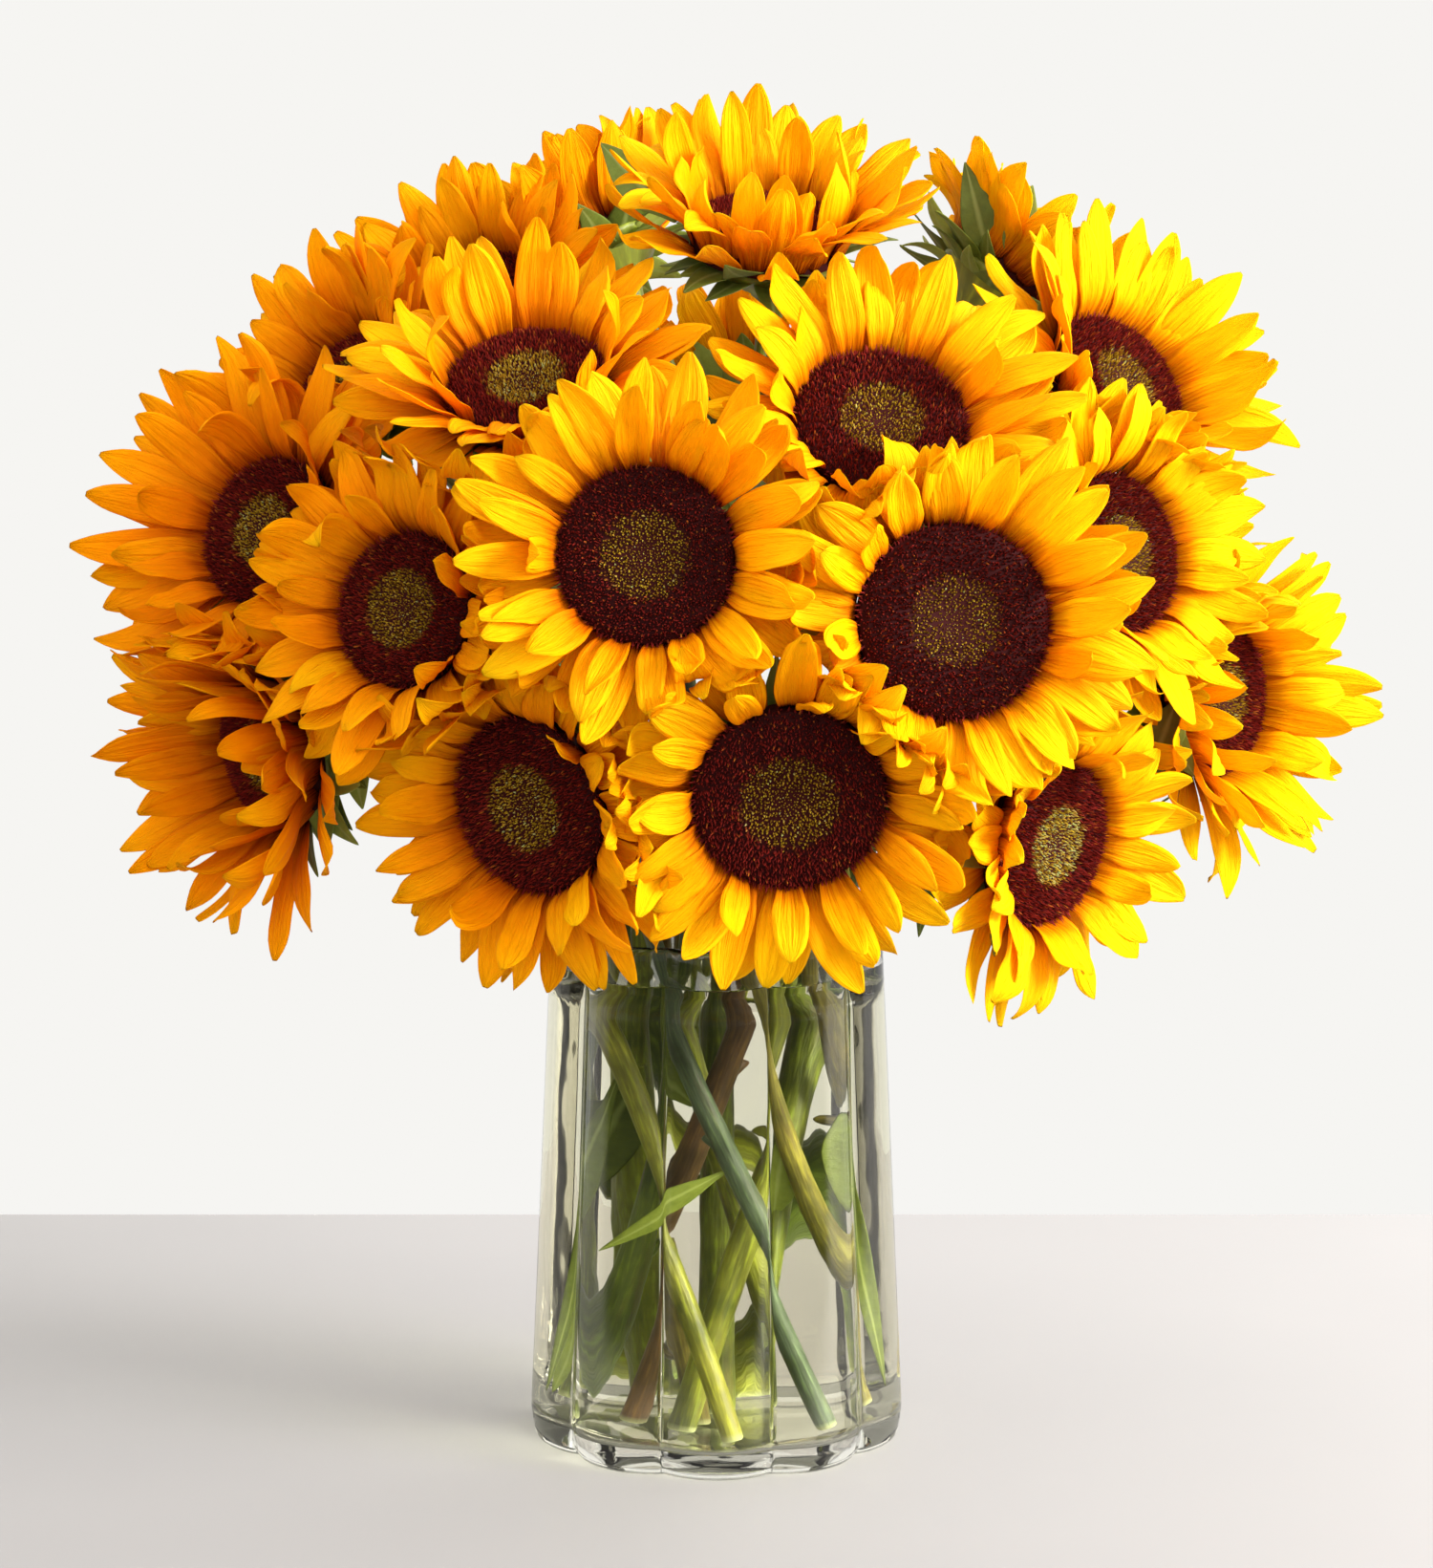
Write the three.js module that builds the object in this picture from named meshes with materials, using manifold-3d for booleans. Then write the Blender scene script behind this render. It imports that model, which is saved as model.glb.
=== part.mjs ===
// Sunflowers in a clear fluted glass vase of water.
// Units are millimetres and +Z is up. The origin is the centre of the vase's foot, on the surface that
// it stands on. -Y is the front of the bouquet and +X is its right-hand side.
import * as THREE from "three";
import { mergeGeometries, mergeVertices } from "three/addons/utils/BufferGeometryUtils.js";
import Module from "manifold-3d";

const wasm = await Module();
wasm.setup();

// ---- Driving dimensions ----
const GAP = 0.3; // left between pieces that touch

const VASE_HEIGHT = 192;
const LOBES = 10;
const POINTS_PER_LOBE = 4;
const OUTER_BULGE = 0.385; // a lobe's own radius as a share of the vase's radius, outside
const INNER_BULGE = 0.55; // and inside, where the lobes are softer
const FOOT_RADIUS = 63.5;
const HEEL = { z: 3, radius: 68 };
const BELLY = { z: 13, radius: 70 };
const RIM_RADIUS = 61.5;
const RIM_ROUNDING = 1.2;
const WALL = 5;
const VASE_FLOOR = 9;
const WATER_LEVEL = 176;

const STEM_SIDES = 6;
const STEM_RADIUS = 4.3;
// The stems stand in three circles, each one turned the other way from rim to foot, in degrees.
const STEM_RINGS = {
  outer: { rimRadius: 46, footRadius: 49.5, turn: 80 },
  middle: { rimRadius: 33, footRadius: 36, turn: -80 },
  inner: { rimRadius: 20, footRadius: 23, turn: 80 },
  centre: { rimRadius: 1, footRadius: 1, turn: 0 },
};
const STRAIGHT_TO = 198; // the height up to which a stem stays straight
const NECK_DROP = 22; // from the disc's plane back to where the stem begins
const CUP_DROP = 13; // and back to where the cup behind the disc begins to narrow

const PLATE_THICKNESS = 4.5;
const PLATE_MARGIN = 1.8; // the petals' plate reaches this far past the disc
// Two rows of petals: the back row lies open, and the front row leans forwards between its petals. The
// lean is in degrees, and the length is a share of the flower's own petal length.
const PETAL_ROWS = {
  back: { lean: [12, 20], length: [0.95, 1.08] },
  front: { lean: [31, 38], length: [0.86, 1] },
};
const PETAL_COUNT = 18;
const PETAL_CURL = [-14, 18]; // degrees from root to tip
const PETAL_WIDTH = [13.2, 15.9];
const PETAL_KEEL = 1.5;
const CLAW_WIDTH = 10; // a sharply bent petal's width just past its root
const SHARP_BEND = 0.5; // radians within the first part of a petal
const ROOT_DEPTH = 3; // a petal that crosses another is rooted this deep in the plate
const PATH_STEPS = 12;
const BRACT_COUNT = 8;
const BRACT_LENGTH = [21, 26];
const BRACT_LEAN = [5, 10];
const BRACT_ROOT = { share: 0.55, height: -8.6 }; // as a share of the disc's radius, inside the cup
const BRACT_WIDTH = 10;
const BRACT_KEEL = 1.5;
const BRACT_STUB = 9; // a bract with less room than this past its cup is left out

const DISC_SIDES = 12;
const DISC_HEIGHT = 9; // a petal that would bend lower than this over the disc is left out
const DISC_CLEARANCE = 0.5;
const FLORET_RELIEF = 0.8;

const CELL_MARGIN = 0.4; // each bloom stays this far inside its own share of the space
const CELL_REACH = 140; // blooms further apart than this don't crowd each other

const COLOURS = {
  petals: { color: 0xf7a800, roughness: 0.55, metalness: 0 },
  disc: { color: 0x3a0f16, roughness: 0.95, metalness: 0 },
  stalk: { color: 0x5c7a2c, roughness: 0.6, metalness: 0 },
  glass: { color: 0xdfe6e2, roughness: 0.03, metalness: 0, transparent: true, opacity: 0.35 },
  water: { color: 0xe6efe9, roughness: 0.02, metalness: 0, transparent: true, opacity: 0.3 },
};

// Each flower: the centre of its disc, the way it faces (azimuth from the front towards the right, and
// elevation, in degrees), its disc's radius, its petals' length, the circle of stems that it belongs to,
// and where its stem passes the rim, as an angle from the front.
const FLOWERS = [
  { id: "01", at: [-23, -150, 344], az: -6, el: 12, disc: 30, petal: 38, ring: "middle", rim: -16 },
  { id: "02", at: [78, -140, 321], az: 10, el: 10, disc: 33, petal: 37, ring: "middle", rim: 26 },
  { id: "03", at: [24, -150, 264], az: 2, el: -14, disc: 33, petal: 36, ring: "outer", rim: 8 },
  { id: "04", at: [-61, -125, 257], az: -35, el: -6, disc: 31, petal: 36, ring: "outer", rim: -32 },
  { id: "05", at: [55, -98, 381], az: 8, el: 42, disc: 30, petal: 39, ring: "inner", rim: 28 },
  { id: "06", at: [-64, -85, 392], az: -12, el: 55, disc: 28, petal: 40, ring: "inner", rim: -38 },
  { id: "07", at: [-103, -110, 320], az: -32, el: 16, disc: 27, petal: 37, ring: "middle", rim: -58 },
  { id: "08", at: [-155, -45, 338], az: -37, el: 22, disc: 27, petal: 48, ring: "middle", rim: -100 },
  { id: "09", at: [-155, -50, 261], az: -52, el: -8, disc: 27, petal: 44, ring: "outer", rim: -74 },
  { id: "10", at: [111, -110, 241], az: 48, el: -6, disc: 29, petal: 35, ring: "outer", rim: 46 },
  { id: "11", at: [136, -75, 335], az: 44, el: 16, disc: 28, petal: 38, ring: "middle", rim: 66 },
  { id: "12", at: [140, -20, 386], az: 45, el: 34, disc: 28, petal: 42, ring: "middle", rim: 106 },
  { id: "13", at: [175, -30, 277], az: 50, el: 2, disc: 28, petal: 45, ring: "outer", rim: 86 },
  { id: "14", at: [18, -30, 440], az: 8, el: 70, disc: 28, petal: 42, ring: "centre", rim: 0 },
  { id: "15", at: [-86, 50, 406], az: -25, el: 42, disc: 27, petal: 40, ring: "inner", rim: -140 },
  { id: "16", at: [-130, 15, 380], az: -50, el: 35, disc: 26, petal: 40, ring: "inner", rim: -88 },
  { id: "17", at: [-45, 100, 426], az: -125, el: 45, disc: 27, petal: 38, ring: "inner", rim: 168 },
  { id: "18", at: [104, 48, 418], az: 112, el: 40, disc: 26, petal: 34, ring: "inner", rim: 100 },
  { id: "19", at: [-84, 108, 288], az: -142, el: 2, disc: 28, petal: 40, ring: "outer", rim: -140 },
  { id: "20", at: [12, 135, 356], az: 176, el: 18, disc: 29, petal: 40, ring: "outer", rim: 180 },
  { id: "21", at: [92, 108, 298], az: 140, el: 4, disc: 28, petal: 40, ring: "outer", rim: 138 },
];
const FIRST_TURNED_AWAY = 17; // from this flower on, disc and petals are one bloom, fused

// ---- Small helpers ----
const radians = THREE.MathUtils.degToRad;

// The same run of numbers from 0 to 1 each time, for one flower.
function seeded(seed) {
  let state = seed;
  return () => {
    state = (state + 0x6d2b79f5) | 0;
    let t = Math.imul(state ^ (state >>> 15), 1 | state);
    t = (t + Math.imul(t ^ (t >>> 7), 61 | t)) ^ t;
    return ((t ^ (t >>> 14)) >>> 0) / 4294967296;
  };
}

const between = (random, [low, high]) => low + (high - low) * random();

// A point on a horizontal circle about the vase's axis, its angle counted from the front to the right.
function onCircle(radius, degrees, z) {
  const a = radians(degrees);
  return new THREE.Vector3(radius * Math.sin(a), -radius * Math.cos(a), z);
}

// A skin through rings of points, closed at both ends unless its start stays open. A ring of one point
// is a tip.
function loft(rings, openStart = false) {
  const triangles = [];
  for (let k = 0; k + 1 < rings.length; k++) {
    const [near, far] = [rings[k], rings[k + 1]];
    for (let i = 0; i < near.length; i++) {
      const j = (i + 1) % near.length;
      triangles.push([near[i], near[j], far[j % far.length]]);
      if (far.length > 1) triangles.push([near[i], far[j], far[i]]);
    }
  }
  if (!openStart) triangles.push(...fan(rings[0].toReversed()));
  triangles.push(...fan(rings.at(-1)));
  return facets(triangles);
}

// A flat polygon's triangles.
function fan(corners) {
  return corners.slice(2).map((corner, i) => [corners[0], corners[i + 1], corner]);
}

// Triangles of three points each, as a geometry.
function facets(triangles) {
  return new THREE.BufferGeometry().setFromPoints(triangles.flat());
}

// A geometry as a solid for joining and cutting, turned to face out.
function solidOf(geometry) {
  const merged = mergeVertices(geometry, 1e-4);
  const triVerts = new Uint32Array(merged.index.array);
  const make = () =>
    new wasm.Manifold(
      new wasm.Mesh({ numProp: 3, vertProperties: merged.attributes.position.array, triVerts }),
    );
  const made = make();
  if (made.volume() >= 0) return made;
  for (let i = 0; i < triVerts.length; i += 3)
    [triVerts[i + 1], triVerts[i + 2]] = [triVerts[i + 2], triVerts[i + 1]];
  return make();
}

// A solid as a three.js geometry.
function geometryOf(solid) {
  const mesh = solid.getMesh();
  const position = new Float32Array(mesh.numVert * 3);
  for (let i = 0; i < mesh.numVert; i++)
    position.set(mesh.vertProperties.subarray(i * mesh.numProp, i * mesh.numProp + 3), i * 3);
  const geometry = new THREE.BufferGeometry();
  geometry.setAttribute("position", new THREE.BufferAttribute(position, 3));
  geometry.setIndex(new THREE.BufferAttribute(mesh.triVerts, 1));
  geometry.computeVertexNormals();
  return geometry;
}

// Joins solids to one. A hollow that this seals is filled, and a loose scrap is dropped.
function joined(solids) {
  const shells = solids.reduce((all, next) => all.add(next)).decompose();
  return shells.reduce((largest, shell) => (shell.volume() > largest.volume() ? shell : largest));
}

const overlaps = (solid, others) => others.some((other) => solid.intersect(other).volume() > 0);

function named(name, finish, solid) {
  const mesh = new THREE.Mesh(geometryOf(solid), new THREE.MeshStandardMaterial(COLOURS[finish]));
  mesh.name = name;
  return mesh;
}

// ---- Vase and water ----
// One level of a fluted wall: every lobe is an arc of a circle that bulges outwards.
function flutedRing(radius, bulge, z) {
  const arc = radius * bulge;
  const centre = radius - arc;
  const points = [];
  for (let i = 0; i < LOBES * POINTS_PER_LOBE; i++) {
    const angle = (360 * i) / (LOBES * POINTS_PER_LOBE);
    const lobe = 360 / LOBES;
    const off = radians(((angle + lobe / 2) % lobe) - lobe / 2);
    const r = centre * Math.cos(off) + Math.sqrt(arc ** 2 - (centre * Math.sin(off)) ** 2);
    points.push(onCircle(r, angle, z));
  }
  return points;
}

// The wall's outer radius at a height above the belly, on its straight taper.
const outerRadius = (z) =>
  THREE.MathUtils.mapLinear(z, BELLY.z, VASE_HEIGHT, BELLY.radius, RIM_RADIUS);

function vase() {
  return solidOf(
    loft([
      flutedRing(FOOT_RADIUS, OUTER_BULGE, 0),
      flutedRing(HEEL.radius, OUTER_BULGE, HEEL.z),
      flutedRing(BELLY.radius, OUTER_BULGE, BELLY.z),
      flutedRing(outerRadius(VASE_HEIGHT - RIM_ROUNDING), OUTER_BULGE, VASE_HEIGHT - RIM_ROUNDING),
      flutedRing(RIM_RADIUS - RIM_ROUNDING, OUTER_BULGE, VASE_HEIGHT),
      flutedRing(RIM_RADIUS - WALL + RIM_ROUNDING, INNER_BULGE, VASE_HEIGHT),
      flutedRing(outerRadius(VASE_HEIGHT) - WALL, INNER_BULGE, VASE_HEIGHT - RIM_ROUNDING),
      flutedRing(outerRadius(VASE_FLOOR + HEEL.z) - WALL, INNER_BULGE, VASE_FLOOR + HEEL.z),
      flutedRing(FOOT_RADIUS - WALL, INNER_BULGE, VASE_FLOOR),
    ]),
  );
}

// The water fills the vase to its level, with a plain hole for every stem.
function water(stemHoles) {
  const side = (z) => outerRadius(z) - WALL - GAP;
  const body = solidOf(
    loft([
      flutedRing(FOOT_RADIUS - WALL - GAP, INNER_BULGE, VASE_FLOOR + GAP),
      flutedRing(side(VASE_FLOOR + HEEL.z) - GAP, INNER_BULGE, VASE_FLOOR + HEEL.z),
      flutedRing(side(WATER_LEVEL), INNER_BULGE, WATER_LEVEL),
    ]),
  );
  return stemHoles.reduce((left, hole) => left.subtract(hole), body);
}

// ---- A flower's own frame and its share of the space ----
function facing(flower) {
  const az = radians(flower.az);
  const el = radians(flower.el);
  return new THREE.Vector3(Math.sin(az) * Math.cos(el), -Math.cos(az) * Math.cos(el), Math.sin(el));
}

// out: the way the flower faces. side and up span its disc's plane.
function frameOf(flower) {
  const out = facing(flower);
  const side = new THREE.Vector3(0, 0, 1).cross(out).normalize();
  const up = out.clone().cross(side);
  return { centre: new THREE.Vector3(...flower.at), out, side, up };
}

// A point given by its angle round the disc, its distance from the disc's axis and its height over it.
function place(frame, angle, radius, height) {
  return frame.centre
    .clone()
    .addScaledVector(frame.side, radius * Math.cos(angle))
    .addScaledVector(frame.up, radius * Math.sin(angle))
    .addScaledVector(frame.out, height);
}

// The planes that part a flower from its neighbours: it keeps to the side where normal . p <= limit.
function cellOf(flower) {
  const here = new THREE.Vector3(...flower.at);
  return FLOWERS.filter((other) => other !== flower)
    .map((other) => {
      const normal = new THREE.Vector3(...other.at).sub(here);
      const distance = normal.length();
      normal.normalize();
      const share = (distance * flower.disc) / (flower.disc + other.disc);
      return { distance, normal, limit: normal.dot(here) + share - CELL_MARGIN };
    })
    .filter((plane) => plane.distance < CELL_REACH);
}

// Moves a point straight back onto any plane that it has crossed.
function keptIn(cell, point) {
  for (const plane of cell) {
    const over = plane.normal.dot(point) - plane.limit;
    if (over > 0) point.addScaledVector(plane.normal, -over);
  }
  return point;
}

// Walks out from a root. Past the disc's edge, where the walk comes as near a neighbour's plane as the
// blade is thick, it turns up along the plane.
function bentPath(frame, cell, root, { lean, curl, length, angle, keel }) {
  const away = place(frame, angle, 1, 0).sub(frame.centre);
  const across = frame.out.clone().cross(away);
  const heading = away
    .clone()
    .multiplyScalar(Math.cos(lean))
    .addScaledVector(frame.out, Math.sin(lean));
  const step = length / PATH_STEPS;
  const points = [root.clone()];
  const headings = [heading.clone()];
  for (let k = 1; k <= PATH_STEPS; k++) {
    heading.applyAxisAngle(across, -curl / PATH_STEPS);
    for (const plane of k > 1 ? cell : []) {
      const next = points.at(-1).clone().addScaledVector(heading, step);
      const over = plane.normal.dot(next) - plane.limit + keel;
      if (over <= 0) continue;
      heading.addScaledVector(plane.normal, -over / step);
      const lost = Math.sqrt(Math.max(0, 1 - heading.lengthSq()));
      const along = frame.out.clone().addScaledVector(plane.normal, -plane.normal.dot(frame.out));
      heading.addScaledVector(along.normalize(), lost).normalize();
    }
    points.push(points.at(-1).clone().addScaledVector(heading, step));
    headings.push(heading.clone());
  }
  return { points, headings, across };
}

// Sections across a leaf-like blade with a keel below: three corners each, and a point at the tip.
function bladeSections(cell, path, widths, keel) {
  return widths.map(([k, width]) => {
    const centre = path.points[k];
    if (width === 0) return [keptIn(cell, centre.clone())];
    const heading = path.headings[k];
    const side = path.across.clone().addScaledVector(heading, -heading.dot(path.across)).normalize();
    const below = side.clone().cross(heading);
    return [
      keptIn(cell, centre.clone().addScaledVector(side, width / 2)),
      keptIn(cell, centre.clone().addScaledVector(side, -width / 2)),
      keptIn(cell, centre.clone().addScaledVector(below, keel)),
    ];
  });
}

// ---- Petals ----
// One petal's sections past its root.
function petalSections(flower, frame, cell, random, angle, root, row) {
  const lean = radians(between(random, row.lean));
  const curl = radians(between(random, PETAL_CURL));
  const length = flower.petal * between(random, row.length);
  const width = between(random, PETAL_WIDTH);
  const turned = angle + between(random, [-0.05, 0.05]);
  const path = bentPath(frame, cell, root, { lean, curl, length, angle: turned, keel: PETAL_KEEL });
  const bendsEarly = path.headings[5].angleTo(path.headings[0]) > SHARP_BEND;
  const claw = bendsEarly ? [[2, CLAW_WIDTH]] : [];
  const widths = [...claw, [5, width], [9, width * 0.76], [PATH_STEPS, 0]];
  return bladeSections(cell, path, widths, PETAL_KEEL);
}

// The plate under the disc, with a petal growing out of each panel of its edge.
function petals(flower, frame, cell, random) {
  const spacing = (2 * Math.PI) / PETAL_COUNT;
  const radius = flower.disc + PLATE_MARGIN;
  const apothem = radius * Math.cos(spacing / 2);
  const edge = (height) =>
    Array.from({ length: PETAL_COUNT }, (_, i) => place(frame, spacing * (i - 0.5), radius, height));
  const [top, bottom] = [edge(0), edge(-PLATE_THICKNESS)];
  const skin = [facets([...fan(top), ...fan(bottom.toReversed())])];
  const discSpace = discPrism(frame, flower.disc + DISC_CLEARANCE, GAP / 2, DISC_HEIGHT);
  const grown = [];
  const fused = [];
  for (let i = 0; i < PETAL_COUNT; i++) {
    const j = (i + 1) % PETAL_COUNT;
    const angle = spacing * i;
    const row = i % 2 === 1 ? PETAL_ROWS.front : PETAL_ROWS.back;
    const past = petalSections(flower, frame, cell, random, angle, place(frame, angle, apothem, 0), row);
    const keel = place(frame, angle, apothem, -PETAL_KEEL - 0.7);
    const root = [top[j], top[i], keel];
    const petal = solidOf(loft([root, ...past]));
    if (!overlaps(petal, [discSpace, ...grown])) {
      grown.push(petal);
      skin.push(loft([root, ...past], true));
      skin.push(facets([[bottom[i], bottom[j], keel], [bottom[j], top[j], keel], [top[i], bottom[i], keel]]));
      continue;
    }
    skin.push(facets(fan([bottom[i], bottom[j], top[j], top[i]])));
    const inwards = place(frame, angle, -ROOT_DEPTH, -1.5).sub(frame.centre);
    const rooted = solidOf(loft([root.map((corner) => corner.clone().add(inwards)), ...past]));
    if (!overlaps(rooted, [discSpace])) fused.push(rooted);
  }
  return joined([solidOf(mergeGeometries(skin)), ...fused]);
}

// ---- Disc of florets ----
function discPrism(frame, radius, from, to) {
  const turn = (2 * Math.PI) / DISC_SIDES;
  const ring = (height) => Array.from({ length: DISC_SIDES }, (_, i) => place(frame, turn * i, radius, height));
  return solidOf(loft([ring(from), ring(to)]));
}

// A low dome with a dip in the middle. Its rings of points stand high and low by turns, as the florets do.
function discOf(flower, frame, base) {
  const profile = [
    { share: 1, height: base, relief: 0, turn: 0 },
    { share: 0.97, height: 5, relief: FLORET_RELIEF, turn: 0 },
    { share: 0.68, height: 7.6, relief: FLORET_RELIEF, turn: 0.5 },
    { share: 0.33, height: 6.6, relief: FLORET_RELIEF, turn: 1 },
  ];
  const middle = place(frame, 0, 0, 5.6);
  const rings = profile.map((level) =>
    Array.from({ length: DISC_SIDES }, (_, i) => {
      const angle = (2 * Math.PI * (i + level.turn)) / DISC_SIDES;
      const bump = level.relief * (i % 2 === 0 ? 1 : -1);
      return place(frame, angle, flower.disc * level.share, level.height + bump);
    }),
  );
  return solidOf(loft([...rings, [middle]]));
}

// ---- Stalk: cut stem, cup behind the disc, and bracts ----
// The stem stands straight in the vase, then curves out and meets the back of its flower.
function stemPath(flower, frame) {
  const ring = STEM_RINGS[flower.ring];
  const foot = onCircle(ring.footRadius, flower.rim + ring.turn, VASE_FLOOR + GAP);
  const rim = onCircle(ring.rimRadius, flower.rim, STRAIGHT_TO);
  const leaving = rim.clone().sub(foot).normalize();
  const slant = Math.sqrt(1 - leaving.z ** 2);
  foot.addScaledVector(leaving, STEM_RADIUS * slant);
  const neck = place(frame, 0, 0, -NECK_DROP);
  const reach = rim.distanceTo(neck);
  const curve = new THREE.CubicBezierCurve3(
    rim,
    rim.clone().addScaledVector(leaving, reach * 0.36),
    neck.clone().addScaledVector(frame.out, -Math.min(48, reach * 0.42)),
    neck,
  );
  const shares = [0.25, 0.5, 0.75];
  return {
    points: [foot, rim, ...shares.map((t) => curve.getPoint(t))],
    tangents: [leaving, leaving, ...shares.map((t) => curve.getTangent(t))],
  };
}

// Sections across a path, each turned as little as may be from the last one.
function sections(points, tangents, radii, sides) {
  const across = new THREE.Vector3(1, 0, 0);
  return points.map((centre, k) => {
    across.addScaledVector(tangents[k], -across.dot(tangents[k])).normalize();
    const other = tangents[k].clone().cross(across);
    return Array.from({ length: sides }, (_, i) => {
      const a = (2 * Math.PI * i) / sides;
      return centre
        .clone()
        .addScaledVector(across, radii[k] * Math.cos(a))
        .addScaledVector(other, radii[k] * Math.sin(a));
    });
  });
}

function stalk(flower, frame, cell, random) {
  const { points, tangents } = stemPath(flower, frame);
  const cup = [
    { height: -NECK_DROP, radius: STEM_RADIUS + 1 },
    { height: -CUP_DROP, radius: flower.disc * 0.7 },
    { height: -PLATE_THICKNESS - GAP, radius: flower.disc * 0.98 },
  ];
  const rings = sections(
    [...points, ...cup.map((level) => place(frame, 0, 0, level.height))],
    [...tangents, ...cup.map(() => frame.out)],
    [...points.map(() => STEM_RADIUS), ...cup.map((level) => level.radius)],
    STEM_SIDES,
  );
  return joined([solidOf(loft(rings)), ...bracts(flower, frame, cell, random)]);
}

// Pointed bracts behind the petals. Each one ends where it would meet a neighbour's plane, and one with
// too little room is left out.
function bracts(flower, frame, cell, random) {
  const blades = [];
  const rootRadius = flower.disc * BRACT_ROOT.share;
  for (let i = 0; i < BRACT_COUNT; i++) {
    const angle = (2 * Math.PI * (i + between(random, [-0.15, 0.15]))) / BRACT_COUNT;
    const root = place(frame, angle, rootRadius, BRACT_ROOT.height);
    const lean = radians(between(random, BRACT_LEAN));
    const heading = place(frame, angle, Math.cos(lean), Math.sin(lean)).sub(frame.centre);
    const rooms = cell
      .filter((plane) => plane.normal.dot(heading) > 0)
      .map((plane) => (plane.limit - BRACT_WIDTH / 3 - plane.normal.dot(root)) / plane.normal.dot(heading));
    const hidden = flower.disc - rootRadius;
    const length = Math.min(hidden + between(random, BRACT_LENGTH), ...rooms);
    if (length < hidden + BRACT_STUB) continue;
    const path = bentPath(frame, [], root, { lean, curl: 0, length, angle, keel: BRACT_KEEL });
    const widths = [[0, BRACT_WIDTH], [7, BRACT_WIDTH], [PATH_STEPS, 0]];
    blades.push(solidOf(loft(bladeSections(cell, path, widths, BRACT_KEEL))));
  }
  return blades;
}

// The hole that a stem needs in the water: the stem's straight stretch, a little thicker and longer.
function stemHole(flower, frame) {
  const { points } = stemPath(flower, frame);
  const along = points[1].clone().sub(points[0]).normalize();
  const ends = [points[0].clone().addScaledVector(along, -8), points[1].clone().addScaledVector(along, 8)];
  const radius = (STEM_RADIUS + GAP) / Math.cos(Math.PI / STEM_SIDES);
  return solidOf(loft(sections(ends, [along, along], [radius, radius], STEM_SIDES)));
}

// ---- The whole ----
const bouquet = new THREE.Group();
const stemHoles = [];
for (const flower of FLOWERS) {
  const frame = frameOf(flower);
  const cell = cellOf(flower);
  const random = seeded(Number(flower.id) * 977);
  const ring = petals(flower, frame, cell, random);
  if (Number(flower.id) < FIRST_TURNED_AWAY) {
    bouquet.add(named("petals_" + flower.id, "petals", ring));
    bouquet.add(named("disc_" + flower.id, "disc", discOf(flower, frame, GAP)));
  } else {
    bouquet.add(named("bloom_" + flower.id, "petals", ring.add(discOf(flower, frame, -1))));
  }
  bouquet.add(named("stalk_" + flower.id, "stalk", stalk(flower, frame, cell, random)));
  stemHoles.push(stemHole(flower, frame));
}
bouquet.add(named("vase", "glass", vase()));
bouquet.add(named("water", "water", water(stemHoles)));

export default bouquet;
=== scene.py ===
"""Sunflowers in a clear fluted glass vase of water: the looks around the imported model.

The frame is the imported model's: +Z is up, -Y is the front of the bouquet and +X is its right-hand side.
Sizes here are in millimetres, and each finished piece is scaled to metres as its mesh is made.
"""

import math
import random
from collections import namedtuple

import bmesh
import bpy
from mathutils import Matrix, Quaternion, Vector, noise


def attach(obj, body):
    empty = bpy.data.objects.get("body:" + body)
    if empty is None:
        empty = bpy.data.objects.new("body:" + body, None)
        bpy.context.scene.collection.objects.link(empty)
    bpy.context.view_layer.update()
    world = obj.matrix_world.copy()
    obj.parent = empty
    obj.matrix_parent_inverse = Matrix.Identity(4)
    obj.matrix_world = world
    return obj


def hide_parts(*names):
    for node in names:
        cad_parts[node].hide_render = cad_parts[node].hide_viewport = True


bl_info = {
    "name": "Sunflowers in a vase",
    "version": (1, 0, 0),
    "blender": (4, 5, 0),
    "location": "View3D > Sidebar > Bouquet",
    "description": "Dresses the packed model of sunflowers in a fluted glass vase",
    "category": "Add Mesh",
}

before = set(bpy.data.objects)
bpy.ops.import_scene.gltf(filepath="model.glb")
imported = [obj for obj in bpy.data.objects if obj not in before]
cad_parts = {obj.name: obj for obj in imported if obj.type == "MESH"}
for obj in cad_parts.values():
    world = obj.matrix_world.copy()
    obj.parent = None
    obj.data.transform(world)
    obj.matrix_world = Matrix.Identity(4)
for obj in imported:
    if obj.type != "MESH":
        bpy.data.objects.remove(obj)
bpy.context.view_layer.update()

MM = 0.001

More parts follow.
